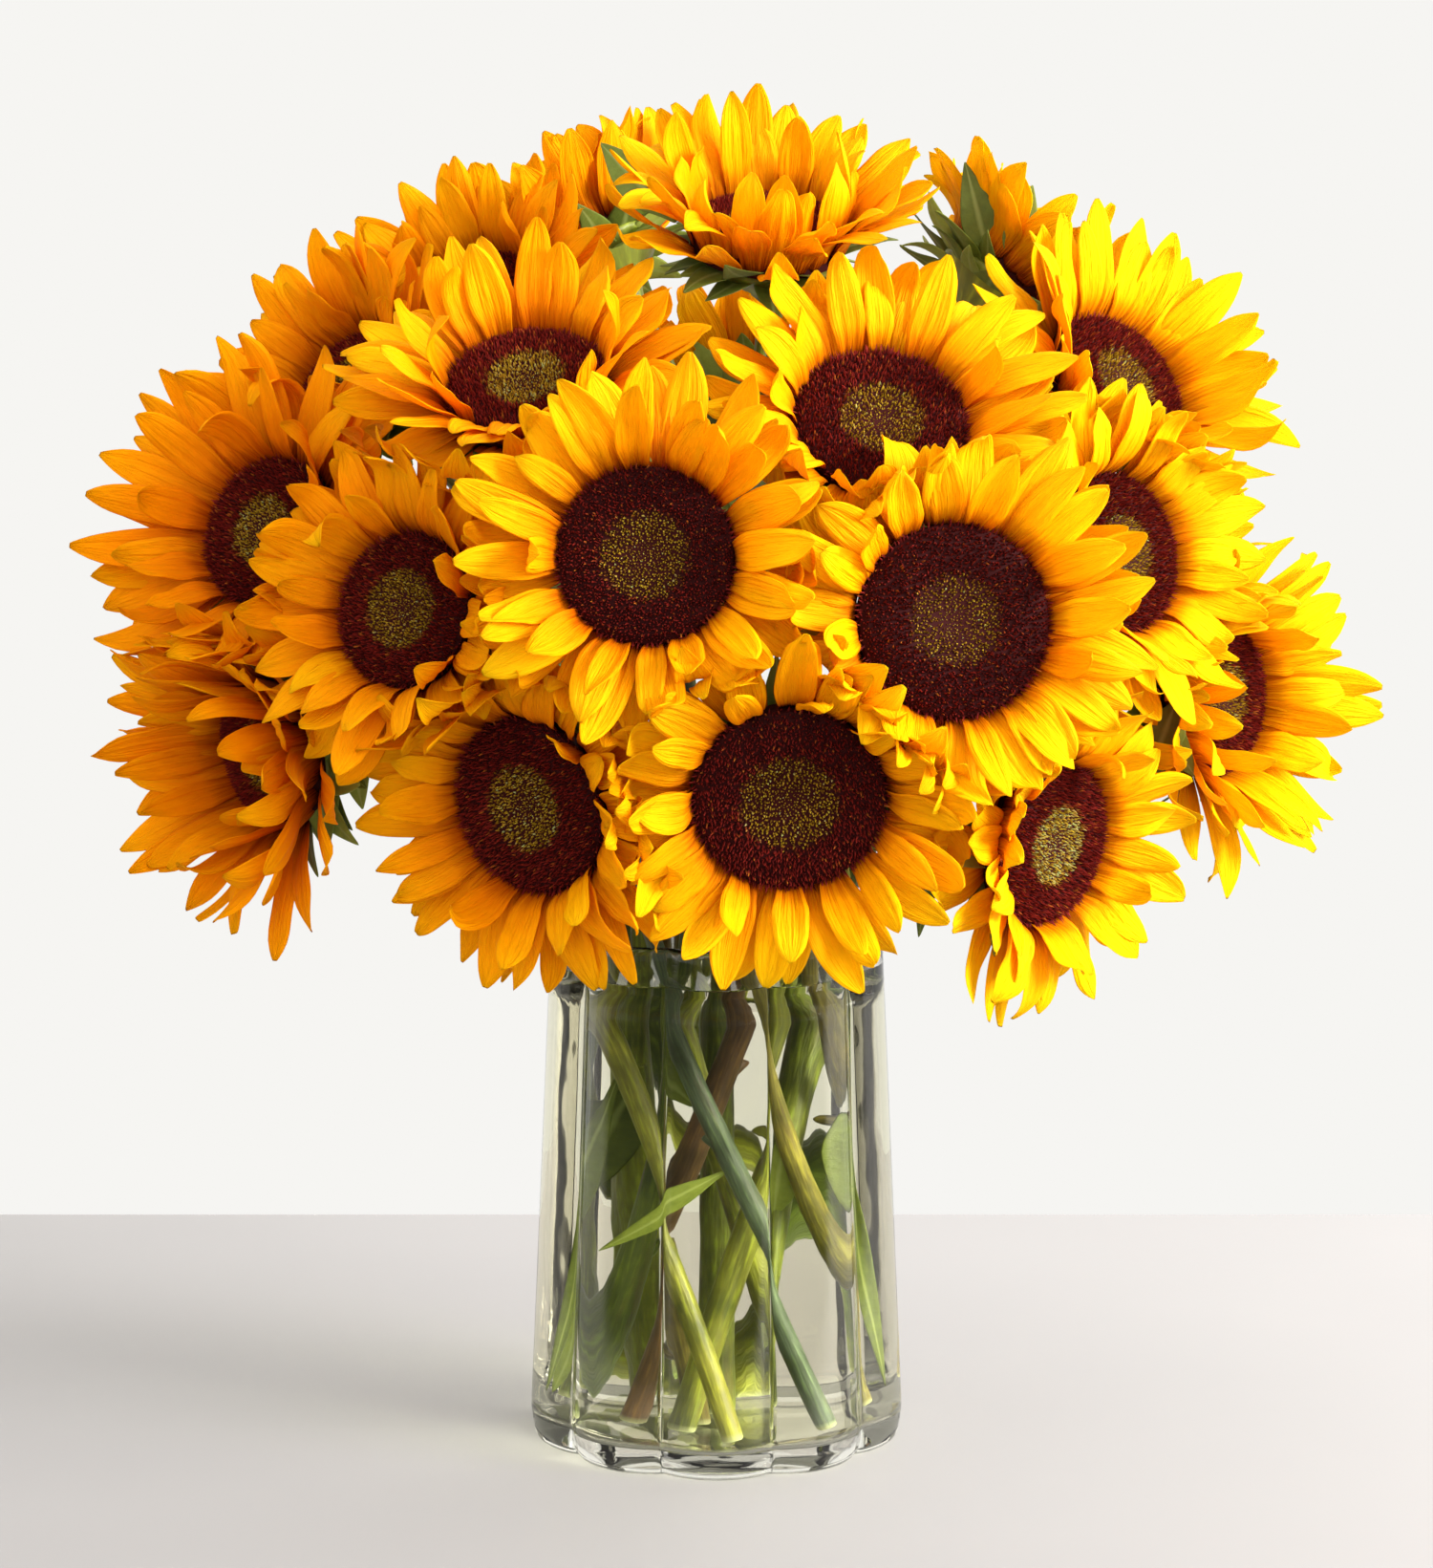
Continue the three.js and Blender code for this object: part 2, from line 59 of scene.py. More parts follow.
# ---- The flowers, as the CAD places them ----
# at: the disc's centre. azimuth and elevation: the way the flower faces, in degrees, from the front
# towards the right and upwards. disc: its radius. petal: the petals' length. ring: its circle of stems.
# rim: where its stem passes the vase's rim, as an angle from the front. closed: how much steeper than
# wide open its petals stand, in degrees.
Flower = namedtuple("Flower", "id at azimuth elevation disc petal ring rim closed")
FLOWERS = (
    Flower("01", (-23, -150, 344), -6, 12, 30, 38, "middle", -16, 0),
    Flower("02", (78, -140, 321), 10, 10, 33, 37, "middle", 26, 0),
    Flower("03", (24, -150, 264), 2, -14, 33, 36, "outer", 8, 0),
    Flower("04", (-61, -125, 257), -35, -6, 31, 36, "outer", -32, 0),
    Flower("05", (55, -98, 381), 8, 42, 30, 39, "inner", 28, 4),
    Flower("06", (-64, -85, 392), -12, 55, 28, 40, "inner", -38, 12),
    Flower("07", (-103, -110, 320), -32, 16, 27, 37, "middle", -58, 4),
    Flower("08", (-155, -45, 338), -37, 22, 27, 48, "middle", -100, 4),
    Flower("09", (-155, -50, 261), -52, -8, 27, 44, "outer", -74, 32),
    Flower("10", (111, -110, 241), 48, -6, 29, 33, "outer", 46, 0),
    Flower("11", (136, -75, 335), 44, 16, 28, 38, "middle", 66, 6),
    Flower("12", (140, -20, 386), 45, 34, 28, 42, "middle", 106, 14),
    Flower("13", (175, -30, 277), 50, 2, 28, 41, "outer", 86, 26),
    Flower("14", (18, -30, 440), 8, 70, 28, 37, "centre", 0, 28),
    Flower("15", (-86, 50, 406), -25, 42, 27, 37, "inner", -140, 26),
    Flower("16", (-130, 15, 380), -50, 35, 26, 40, "inner", -88, 24),
    Flower("17", (-45, 100, 426), -125, 45, 27, 35, "inner", 168, 18),
    Flower("18", (104, 48, 418), 112, 40, 26, 30, "inner", 100, 18),
    Flower("19", (-84, 108, 288), -142, 2, 28, 40, "outer", -140, 0),
    Flower("20", (12, 135, 356), 176, 18, 29, 40, "outer", 180, 0),
    Flower("21", (92, 108, 298), 140, 4, 28, 40, "outer", 138, 0),
)
FIRST_TURNED_AWAY = 17  # from this flower on, the CAD fuses disc and petals to one bloom
GREEN_MIDDLES = {"10": 1.0, "06": 0.45, "04": 0.25, "08": 0.3}  # discs whose middle is paler and greener

# Each flower has its own share of the space, its cell, up to planes between it and its neighbours.
CELL_MARGIN = 0.4  # a cell ends this far short of the plane
CELL_REACH = 140  # flowers further apart than this don't crowd each other

# ---- Petals and bracts ----
# height: over the disc's plane. lean and curl are in degrees. A petal's start is past the disc's edge, and
# its length is a share of the flower's own petal length. A bract's start is a share of the disc's radius,
# and its length is past the disc's edge.
Row = namedtuple("Row", "count start height lean curl length width")
PETAL_ROWS = (
    Row(21, -0.8, -2.9, (0, 18), (-28, 14), (0.94, 1.15), (12.5, 16.5)),
    Row(19, -1.0, -1.7, (12, 34), (-30, 24), (0.86, 1.12), (12.0, 16.0)),
    Row(16, -1.3, -0.5, (28, 58), (-40, 36), (0.62, 1.0), (10.5, 15.0)),
)
PETAL_SEGMENTS = (6, 7)
BRACT_ROWS = (
    Row(13, 0.58, -8.2, (2, 16), (-10, 24), (14, 21), (15.0, 19.0)),
    Row(13, 0.46, -11.2, (-4, 12), (-30, 14), (9, 15), (14.0, 17.5)),
)
BRACT_SEGMENTS = (2, 7)
# spread: how unevenly blades stand in their row, as a share of their spacing. tip_curl: its mean and its
# deviation. sway and twist: how far they turn sideways and about themselves. These are in degrees.
# groove: the depth of their pleats.
Habit = namedtuple("Habit", "spread tip_curl sway twist groove")
PETAL_HABIT = Habit(0.28, (0, 34), 24, 26, 0.85)
BRACT_HABIT = Habit(0.2, (-6, 20), 16, 16, 0.25)
BRACT_THICKNESS = 0.6
SPINE_STEPS = 24
ROOT_STEPS = 2  # of these, the first ones don't give way to a neighbour
BRACTS_BELOW = -5  # bracts start lower than this, and petals higher
PRESSED_CURL = (10, 140)  # a petal that meets a neighbour's space curls back by this, over its own disc
PETAL_CLEARANCE = (-5, 3)  # a blade turns this far short of the neighbour's space, or into it if negative
BRACT_CLEARANCE = 2
BLADE_OVERLAP = 7  # a blade's sides reach no further than this into a neighbour's space
ABOVE_FLORETS = 3.2  # a petal that folds over its disc stays this far above the florets' bed
# A petal's tone runs from orange at 0 to lemon at 1. It has its mean in the middle of the bouquet, what this
# gains for each millimetre to the right, and its deviation. That gain is partly the flowers' own variation
# and partly painted shade, which makes the flowers on the shaded left more orange.
MIDDLE_TONE = 0.56
SHADE_AND_TONE_GAIN = 0.0028
TONE_DEVIATION = 0.14

# ---- Discs ----
FLORET_PATCH = 30  # florets are made in patches, because a bmesh operator slows down as its mesh grows
GOLDEN_ANGLE = math.radians(137.508)
# The height of the florets' bed by its share of the disc's radius.
BED = ((0.0, 4.4), (0.3, 5.3), (0.66, 6.2), (0.9, 5.2), (0.98, 3.6), (1.0, 2.0))
BED_BACK = ((0.97, -3.9), (0.0, -4.2))  # the bed's back, in the same way
BED_SIDES = 36
# Shares of the disc's radius:
BED_SHARE = 0.985  # the bed's edge
MIDDLE_SHARE = 0.47  # the olive middle's edge
CLOSED_SHARES = (0.3, 0.08)  # between these, inwards, the florets turn to closed buds
EDGE_SHARE = 0.965  # from here on, they lean out over the petals' roots
OUTERMOST = 0.975  # where the last ones stand

FLORET_WIDTH = 1.25
FLORET_HEIGHT = 1.4

# ---- Stems ----
StemRing = namedtuple("StemRing", "rim_radius foot_radius turn")
STEM_RINGS = {
    "outer": StemRing(46, 49.5, 80),
    "middle": StemRing(33, 36, -80),
    "inner": StemRing(20, 23, 80),
    "centre": StemRing(1, 1, 0),
}
STEM_RADIUS = 4.3
# A stem's tint runs from blue-green at 0 through yellow-green to brown at 1.
STEM_TINTS = {"02": 1.0, "03": 0.9, "04": 0.0, "09": 0.75}  # the stems in front, as the photo shows them
OTHER_TINTS = (0.2, 0.3, 0.4, 0.5, 0.6, 0.92)
STEM_SIDES = 12
STEM_SHARE = (0.72, 0.88)  # how thick the stems are, as a share of the CAD's, so that light comes between
SLENDER = 0.72  # the stems at the back and in the middle are thinner still, by this
GRAIN_LENGTH = 44  # the grain's unit along a stem, which makes its ribs about twelve times as long as wide
STRAIGHT_TO = 198  # the height up to which a stem is straight, just over the vase's rim
STEM_STEP = 12
NECK_DROP = 22  # from the disc's plane back to where the stem widens to the cup
NECK_RADIUS = 5.3
STUB_COUNTS = (2, 3, 3, 4)
STUB_LENGTHS = (1.2, 1.8, 4.5, 6.5)  # scars of leaves, and the stubs of cut ones
STUB_SIDES = 8
# The cup behind the disc: height over the disc's plane, and radius as a share of the disc's.
CUP = ((-18, 0.36), (-15, 0.56), (-12.4, 0.72), (-9, 0.87), (-6.2, 0.955), (-4.9, 0.975))

# ---- Leaves: thirteen among the heads, then nine under water ----
# flower: the one whose stalk it belongs to. at: where it starts. towards: the way it sets off. droop: how
# far it bends over, in degrees. tone: from dark green at 0 to pale green at 1.
Leaf = namedtuple("Leaf", "flower at towards droop length width tone")
LEAVES = (
    Leaf("10", (103.3, -97.7, 225.6), (-0.08, 0.18, -0.98), 30, 47, 14, 0.1),
    Leaf("10", (75.5, -76.6, 241.2), (-0.12, -0.09, -0.99), 20, 42, 12, 0.2),
    Leaf("01", (-14.8, -89.3, 312.9), (-0.17, -0.39, -0.9), -20, 36, 15, 0.8),
    Leaf("05", (40.3, -93.5, 367.5), (-0.24, -0.23, -0.94), -20, 28, 10, 1.0),
    Leaf("13", (160, -62, 282), (-0.4, -0.3, -1), 15, 30, 18, 0.2),
    Leaf("11", (152, -60, 276), (0.5, -0.3, -0.7), 15, 26, 15, 0.5),
    Leaf("14", (-13.8, -4.3, 443.5), (-0.65, 0.45, 0.61), 25, 50, 20, 0.4),
    Leaf("14", (-14, -4.3, 443.6), (0.04, 0.61, 0.79), 20, 31, 18, 0.2),
    Leaf("18", (98, 30, 428), (-0.25, -0.1, 1), 20, 36, 17, 0.1),
    Leaf("18", (106, 26, 424), (0.25, -0.1, 1), 25, 32, 16, 0.3),
    Leaf("09", (-134, -60, 290), (-0.05, -0.25, -1), 12, 40, 22, 0.5),
    Leaf("09", (-140, -58, 262), (0.12, -0.25, -1), 15, 34, 18, 0.3),
    Leaf("09", (-129.5, -57.5, 272), (0.2, -0.2, -1), 15, 30, 16, 0.7),
    Leaf("04", (2.6, -36.6, 108.5), (-0.79, -0.22, -0.57), 20, 52, 10, 0.5),
    Leaf("07", (-26, -5, 136), (-0.3, -0.25, -1), 20, 62, 17, 0.0),
    Leaf("06", (-4, -17, 128), (-0.4, -0.2, 0.8), 25, 40, 16, 0.2),
    Leaf("10", (35, -10, 128), (0.12, -0.4, -1), 25, 54, 14, 0.1),
    Leaf("12", (21, -15, 84), (0.1, -0.5, 1), 25, 42, 12, 0.6),
    Leaf("09", (-31.3, -23.5, 140), (-0.22, 0.03, -0.98), 2, 124, 12, 0.1),
    Leaf("19", (-40.4, -8.9, 60), (-0.33, -0.12, -0.94), 5, 45, 13, 0.6),
    Leaf("10", (37.4, -8.6, 121), (0.21, -0.1, -0.97), -3, 102, 12, 0.0),
    Leaf("10", (38.4, -0.3, 95.4), (0.31, -0.49, -0.82), 30, 43, 13, 0.3),
)
LEAF_SEGMENTS = (4, 9)
LEAF_CUP = (0.4, 0.15)  # how steeply its sides rise, at the root and at the tip
LEAF_GROOVE = 0.5
LEAF_TWIST = 25
LEAF_THICKNESS = 0.5

# ---- Vase ----
VASE_HEIGHT = 192
LOBES = 10
POINTS_PER_LOBE = 18
# bulge: a lobe's own radius as a share of the vase's. soft: how far the grooves between lobes are rounded.
OUTER_BULGE = 0.385
OUTER_SOFT = 1.2
INNER_BULGE = 0.365  # so that the wall is about equally thick all round
INNER_SOFT = 3
FOOT_RADIUS = 63.5
BELLY_RADIUS = 70
BELLY_HEIGHT = 13
RIM_RADIUS = 61.5
WALL = 3.5
VASE_FLOOR = 9
WATER_IN_GLASS = 0.4  # the water reaches this far into the glass, so that no air shows between them

# ---- Stage: the table in millimetres, the lights and the camera in metres ----
TABLE_SIZE = (6000, 3300, 30)
TABLE_BACK = 300  # from the vase's axis to the table's back edge
WINDOW_SIDE = (0.42, -0.9, 0.1)  # the surroundings are brightest on this side, as beside a large window
WINDOW_LIGHT = (0.55, 2.1)  # their strength opposite the window's side and on it, for a fill of 1
GLASS_VIEW = (0.3, 1.05)  # their strength where the glass shows them: straight in front, and all round
KEY_AT = (1.75, -0.8, 1.05)
KEY_AIM = (0, 0, 0.22)
BACK_AT = (0.8, 1.1, 1.5)
BACK_AIM = (0, 0, 0.2)
BACK_SHARE = 0.12  # the back light's power as a share of the key light's
LIGHT_SIZE = 1.0
# The vase's foot and rim ellipses in the photograph give the camera's place and its tilt.
CAMERA_AT = (0, -1.8, 0.565)
CAMERA_TILT = 10.2
LENS = 116.3

# ---- The patterns' sizes ----
VEINS_ACROSS = 11.0  # on a petal about 14 mm wide, its veins are a little over a millimetre apart
VEINS_ALONG = 1.6  # and change once or twice along it
RIBS = 3.2  # to a stem's radius of about 3.4 mm, so they are about a millimetre apart
PATCHES = 0.9  # to that radius, so the brown patches are about half as wide as the stem
# These are sizes in millimetres.
CLOUDS = 21.74  # light and dark stretches of a stem
MOTTLE = 3.846  # the down of bracts and leaves, drawn far coarser than its hairs, so that it shows
RIPPLES = 23.81  # slow ripples in pressed glass
RIPPLE_HEIGHT = 0.45  # they are about twice as tall as wide
UNEVENNESS = 200  # clouds in the table's paint


def srgb(code, alpha=1.0):
    """A colour written as sRGB hex, as the linear values that a shader takes."""
    channels = [int(code[i : i + 2], 16) / 255 for i in (1, 3, 5)]
    linear = [c / 12.92 if c <= 0.04045 else ((c + 0.055) / 1.055) ** 2.4 for c in channels]
    return (*linear, alpha)


def per_metre(size):
    """A noise texture's scale on Object coordinates, for a pattern of a size in millimetres."""
    return 1 / (size * MM)


# ---- Nodes and materials ----
def add_node(tree, kind, inputs=None, stops=None, **settings):
    """Adds a node with its settings. An input is given a value or another node's output."""
    node = tree.nodes.new(kind)
    for name, value in settings.items():
        setattr(node, name, value)
    for name, value in (inputs or {}).items():
        if isinstance(value, bpy.types.NodeSocket):
            tree.links.new(value, node.inputs[name])
        else:
            node.inputs[name].default_value = value
    if stops:
        elements = node.color_ramp.elements
        while len(elements) < len(stops):
            elements.new(0.5)
        for element, (position, colour) in zip(elements, stops):
            element.position = position
            element.color = colour
    return node


def new_material(name):
    """An empty material, its node tree and its output node."""
    material = bpy.data.materials.new(name)
    material.use_nodes = True
    material.node_tree.nodes.clear()
    output = add_node(material.node_tree, "ShaderNodeOutputMaterial")
    return material, material.node_tree, output


def glass_view(tree):
    """1 for what the glass mirrors or lets through to the camera, 0 for what only lights the pieces."""
    ray = add_node(tree, "ShaderNodeLightPath")
    direct = add_node(
        tree,
        "ShaderNodeMath",
        {0: ray.outputs["Diffuse Depth"], 1: 0.5},
        operation="LESS_THAN",
    )
    view = add_node(
        tree,
        "ShaderNodeMath",
        {0: ray.outputs["Is Glossy Ray"], 1: direct.outputs[0]},
        operation="MULTIPLY",
    )
    return view.outputs[0]


def pass_light(tree, output, shader, tint):
    """Gives a clear material its shader, and lets light straight through it with a tint.

    Light that is bent on its way to the stems comes out as noise.
    """
    clear = add_node(tree, "ShaderNodeBsdfTransparent", {"Color": tint})
    ray = add_node(tree, "ShaderNodeLightPath")
    mix = add_node(
        tree,
        "ShaderNodeMixShader",
        {"Fac": ray.outputs["Is Shadow Ray"], 1: shader.outputs[0], 2: clear.outputs[0]},
    )
    tree.links.new(mix.outputs[0], output.inputs["Surface"])


def petal_material(look):
    """Sunflower ray petals: thin, soft and satin, with fine veins along them, and light shines through."""
    material, tree, output = new_material("Sunflower ray petal")
    uv = add_node(tree, "ShaderNodeUVMap", uv_map="UVMap")
    place = add_node(tree, "ShaderNodeSeparateXYZ", {"Vector": uv.outputs["UV"]})
    tone = add_node(tree, "ShaderNodeAttribute", attribute_name="tone")
    seed = add_node(tree, "ShaderNodeMath", {0: tone.outputs["Fac"], 1: 61.0}, operation="MULTIPLY")
    across = add_node(tree, "ShaderNodeMath", {0: place.outputs["X"], 1: VEINS_ACROSS}, operation="MULTIPLY")
    along = add_node(tree, "ShaderNodeMath", {0: place.outputs["Y"], 1: VEINS_ALONG}, operation="MULTIPLY")
    grain = add_node(
        tree,
        "ShaderNodeCombineXYZ",
        {"X": across.outputs[0], "Y": along.outputs[0], "Z": seed.outputs[0]},
    )
    veins = add_node(
        tree,
        "ShaderNodeTexNoise",
        {"Vector": grain.outputs[0], "Scale": 1.0, "Detail": 3.0, "Roughness": 0.6},
    )
    shift = add_node(
        tree, "ShaderNodeMath", {0: veins.outputs["Fac"], 1: 0.34, 2: -0.17}, operation="MULTIPLY_ADD"
    )
    ripeness = add_node(tree, "ShaderNodeMath", {0: place.outputs["Y"], 1: shift.outputs[0]}, operation="ADD")
    warm = add_node(
        tree,
        "ShaderNodeValToRGB",
        {"Fac": ripeness.outputs[0]},
        stops=[
            (0.0, srgb("#7A2400")),
            (0.08, srgb("#BE4E00")),
            (0.24, srgb("#EA7E00")),
            (0.6, srgb("#FA9C00")),
            (1.0, srgb("#FFAE00")),
        ],
    )
    lemon = add_node(
        tree,
        "ShaderNodeValToRGB",
        {"Fac": ripeness.outputs[0]},
        stops=[
            (0.0, srgb("#8A3400")),
            (0.08, srgb("#D67200")),
            (0.26, srgb("#FCB800")),
            (0.6, srgb("#FFCE06")),
            (1.0, srgb("#FFD60C")),
        ],
    )
    # The tone attribute holds each petal's own colour and, in its mean, painted shade that makes the left
    # flowers more orange.
    colour = add_node(
        tree,
        "ShaderNodeMix",
        {"Factor": tone.outputs["Fac"], "A": warm.outputs["Color"], "B": lemon.outputs["Color"]},
        data_type="RGBA",
    )
    bump = add_node(
        tree,
        "ShaderNodeBump",
        {"Height": veins.outputs["Fac"], "Strength": 0.9, "Distance": 0.002},
    )
    satin = add_node(
        tree,
        "ShaderNodeBsdfPrincipled",
        {
            "Base Color": colour.outputs["Result"],
            "Roughness": 0.6,
            "Specular IOR Level": 0.04,
            "Normal": bump.outputs["Normal"],
        },
    )
    through = add_node(
        tree,
        "ShaderNodeBsdfTranslucent",
        {"Color": colour.outputs["Result"], "Normal": bump.outputs["Normal"]},
    )
    mix = add_node(
        tree,
        "ShaderNodeMixShader",
        {"Fac": look.petal_translucency, 1: satin.outputs[0], 2: through.outputs[0]},
    )
    tree.links.new(mix.outputs[0], output.inputs["Surface"])
    return material


def floret_material():
    """Disc florets: dull, bristly maroon tips over a near-black bed, and olive buds in the middle."""
    material, tree, output = new_material("Sunflower disc floret")
    tip = add_node(tree, "ShaderNodeAttribute", attribute_name="tip")
    olive = add_node(tree, "ShaderNodeAttribute", attribute_name="olive")
    tone = add_node(tree, "ShaderNodeAttribute", attribute_name="tone")
    maroon = add_node(
        tree,
        "ShaderNodeValToRGB",
        {"Fac": tone.outputs["Fac"]},
        stops=[(0.0, srgb("#4A0A0A")), (0.7, srgb("#8C2218")), (1.0, srgb("#C46C22"))],
    )
    buds = add_node(
        tree,
        "ShaderNodeValToRGB",
        {"Fac": tone.outputs["Fac"]},
        stops=[
            (0.0, srgb("#5C4004")),
            (0.5, srgb("#AC9010")),
            (0.75, srgb("#D2B834")),
            (1.0, srgb("#BCD082")),
        ],
    )
    tips = add_node(
        tree,
        "ShaderNodeMix",
        {"Factor": olive.outputs["Fac"], "A": maroon.outputs["Color"], "B": buds.outputs["Color"]},
        data_type="RGBA",
    )
    colour = add_node(
        tree,
        "ShaderNodeMix",
        {"Factor": tip.outputs["Fac"], "A": srgb("#2C0505"), "B": tips.outputs["Result"]},
        data_type="RGBA",
    )
    shader = add_node(
        tree,
        "ShaderNodeBsdfPrincipled",
        {"Base Color": colour.outputs["Result"], "Roughness": 0.75, "Specular IOR Level": 0.1},
    )
    tree.links.new(shader.outputs[0], output.inputs["Surface"])
    return material


def stem_material():
    """Sunflower stems: waxy and ribbed, green to yellow-green, with brown patches and pale cut ends."""
    material, tree, output = new_material("Sunflower stem")
    tint = add_node(tree, "ShaderNodeAttribute", attribute_name="tint")
    cut = add_node(tree, "ShaderNodeAttribute", attribute_name="cut")
    grain = add_node(tree, "ShaderNodeAttribute", attribute_name="grain")
    ribs = add_node(
        tree,
        "ShaderNodeTexNoise",
        {"Vector": grain.outputs["Vector"], "Scale": RIBS, "Detail": 3.0, "Roughness": 0.6},
    )
    patches = add_node(
        tree,
        "ShaderNodeTexNoise",
        {"Vector": grain.outputs["Vector"], "Scale": PATCHES, "Detail": 4.0, "Roughness": 0.6},
    )
    skin = add_node(
        tree,
        "ShaderNodeValToRGB",
        {"Fac": tint.outputs["Fac"]},
        stops=[
            (0.0, srgb("#5E6E58")),
            (0.15, srgb("#5A6A20")),
            (0.5, srgb("#828A26")),
            (0.8, srgb("#A4A23A")),
            (1.0, srgb("#6E5030")),
        ],
    )
    fibres = add_node(
        tree,
        "ShaderNodeValToRGB",
        {"Fac": ribs.outputs["Fac"]},
        stops=[(0.36, srgb("#39401C")), (0.52, srgb("#85866E")), (0.66, srgb("#D4DEA4"))],
    )
    ribbed = add_node(
        tree,
        "ShaderNodeMix",
        {"Factor": 0.5, "A": skin.outputs["Color"], "B": fibres.outputs["Color"]},
        data_type="RGBA",
        blend_type="OVERLAY",
    )
    where = add_node(tree, "ShaderNodeTexCoord")
    clouds = add_node(
        tree,
        "ShaderNodeTexNoise",
        {"Vector": where.outputs["Object"], "Scale": per_metre(CLOUDS), "Detail": 3.0},
    )
    shade = add_node(
        tree,
        "ShaderNodeValToRGB",
        {"Fac": clouds.outputs["Fac"]},
        stops=[(0.32, srgb("#9CA47A")), (0.62, srgb("#FFFFFF"))],
    )
    shaded = add_node(
        tree,
        "ShaderNodeMix",
        {"Factor": 1.0, "A": ribbed.outputs["Result"], "B": shade.outputs["Color"]},
        data_type="RGBA",
        blend_type="MULTIPLY",
    )
    brown = add_node(
        tree,
        "ShaderNodeValToRGB",
        {"Fac": patches.outputs["Fac"]},
        stops=[(0.54, srgb("#000000")), (0.68, srgb("#B8B8B8"))],
    )
    blotched = add_node(
        tree,
        "ShaderNodeMix",
        {"Factor": brown.outputs["Color"], "A": shaded.outputs["Result"], "B": srgb("#4E3424")},
        data_type="RGBA",
    )
    colour = add_node(
        tree,
        "ShaderNodeMix",
        {"Factor": cut.outputs["Fac"], "A": blotched.outputs["Result"], "B": srgb("#C9CF9A")},
        data_type="RGBA",
    )
    bump = add_node(
        tree, "ShaderNodeBump", {"Height": ribs.outputs["Fac"], "Strength": 0.5, "Distance": 0.0006}
    )
    shader = add_node(
        tree,
        "ShaderNodeBsdfPrincipled",
        {
            "Base Color": colour.outputs["Result"],
            "Roughness": 0.45,
            "Specular IOR Level": 0.4,
            "Normal": bump.outputs["Normal"],
        },
    )
    tree.links.new(shader.outputs[0], output.inputs["Surface"])
    return material


def bract_material():
    """Bracts and leaves: matt, slightly hairy green, paler along the middle vein."""
    material, tree, output = new_material("Sunflower bract and leaf")
    uv = add_node(tree, "ShaderNodeUVMap", uv_map="UVMap")
    place = add_node(tree, "ShaderNodeSeparateXYZ", {"Vector": uv.outputs["UV"]})
    tone = add_node(tree, "ShaderNodeAttribute", attribute_name="tone")
    where = add_node(tree, "ShaderNodeTexCoord")
    mottle = add_node(
        tree,
        "ShaderNodeTexNoise",
        {"Vector": where.outputs["Object"], "Scale": per_metre(MOTTLE), "Detail": 4.0, "Roughness": 0.65},
    )
    green = add_node(
        tree,
        "ShaderNodeValToRGB",
        {"Fac": tone.outputs["Fac"]},
        stops=[(0.0, srgb("#56621E")), (0.55, srgb("#76842A")), (1.0, srgb("#9CA646"))],
    )
    mottled = add_node(
        tree,
        "ShaderNodeMix",
        {"Factor": 0.5, "A": green.outputs["Color"], "B": mottle.outputs["Fac"]},
        data_type="RGBA",
        blend_type="SOFT_LIGHT",
    )
    side = add_node(tree, "ShaderNodeMath", {0: place.outputs["X"], 1: 0.5}, operation="SUBTRACT")
    off_vein = add_node(tree, "ShaderNodeMath", {0: side.outputs[0]}, operation="ABSOLUTE")
    vein = add_node(
        tree,
        "ShaderNodeMapRange",
        {"Value": off_vein.outputs[0], "From Min": 0.02, "From Max": 0.1, "To Min": 0.45, "To Max": 0.0},
    )
    colour = add_node(
        tree,
        "ShaderNodeMix",
        {"Factor": vein.outputs["Result"], "A": mottled.outputs["Result"], "B": srgb("#A3AE62")},
        data_type="RGBA",
    )
    bump = add_node(
        tree, "ShaderNodeBump", {"Height": mottle.outputs["Fac"], "Strength": 0.5, "Distance": 0.0008}
    )
    shader = add_node(
        tree,
        "ShaderNodeBsdfPrincipled",
        {
            "Base Color": colour.outputs["Result"],
            "Roughness": 0.6,
            "Specular IOR Level": 0.3,
            "Normal": bump.outputs["Normal"],
        },
    )
    through = add_node(tree, "ShaderNodeBsdfTranslucent", {"Color": colour.outputs["Result"]})
    mix = add_node(tree, "ShaderNodeMixShader", {"Fac": 0.2, 1: shader.outputs[0], 2: through.outputs[0]})
    tree.links.new(mix.outputs[0], output.inputs["Surface"])
    return material


def glass_material(look):
    """Pressed soda-lime glass: clear with a faint green cast, fire-polished, with slow ripples."""
    material, tree, output = new_material("Pressed soda-lime glass")
    where = add_node(tree, "ShaderNodeTexCoord")
    stretched = add_node(
        tree, "ShaderNodeMapping", {"Vector": where.outputs["Object"], "Scale": (1.0, 1.0, RIPPLE_HEIGHT)}
    )
    ripple = add_node(
        tree,
        "ShaderNodeTexNoise",
        {"Vector": stretched.outputs[0], "Scale": per_metre(RIPPLES), "Detail": 2.0},
    )
    bump = add_node(
        tree, "ShaderNodeBump", {"Height": ripple.outputs["Fac"], "Strength": 0.35, "Distance": 0.0006}
    )
    glass = add_node(
        tree,
        "ShaderNodeBsdfPrincipled",
        {
            "Base Color": tuple(look.glass_tint),
            "Roughness": 0.0,
            "IOR": 1.5,
            "Transmission Weight": 1.0,
            "Normal": bump.outputs["Normal"],
        },
    )
    pass_light(tree, output, glass, srgb("#F9FAF6"))
    return material


def water_material(look):
    """Tap water: clear, with a faint green cast from the stems that stand in it."""
    material, tree, output = new_material("Water")
    water = add_node(
        tree,
        "ShaderNodeBsdfPrincipled",
        {
            "Base Color": tuple(look.water_tint),
            "Roughness": 0.0,
            "IOR": 1.333,
            "Transmission Weight": 1.0,
        },
    )
    pass_light(tree, output, water, srgb("#FCFCF8"))
    return material


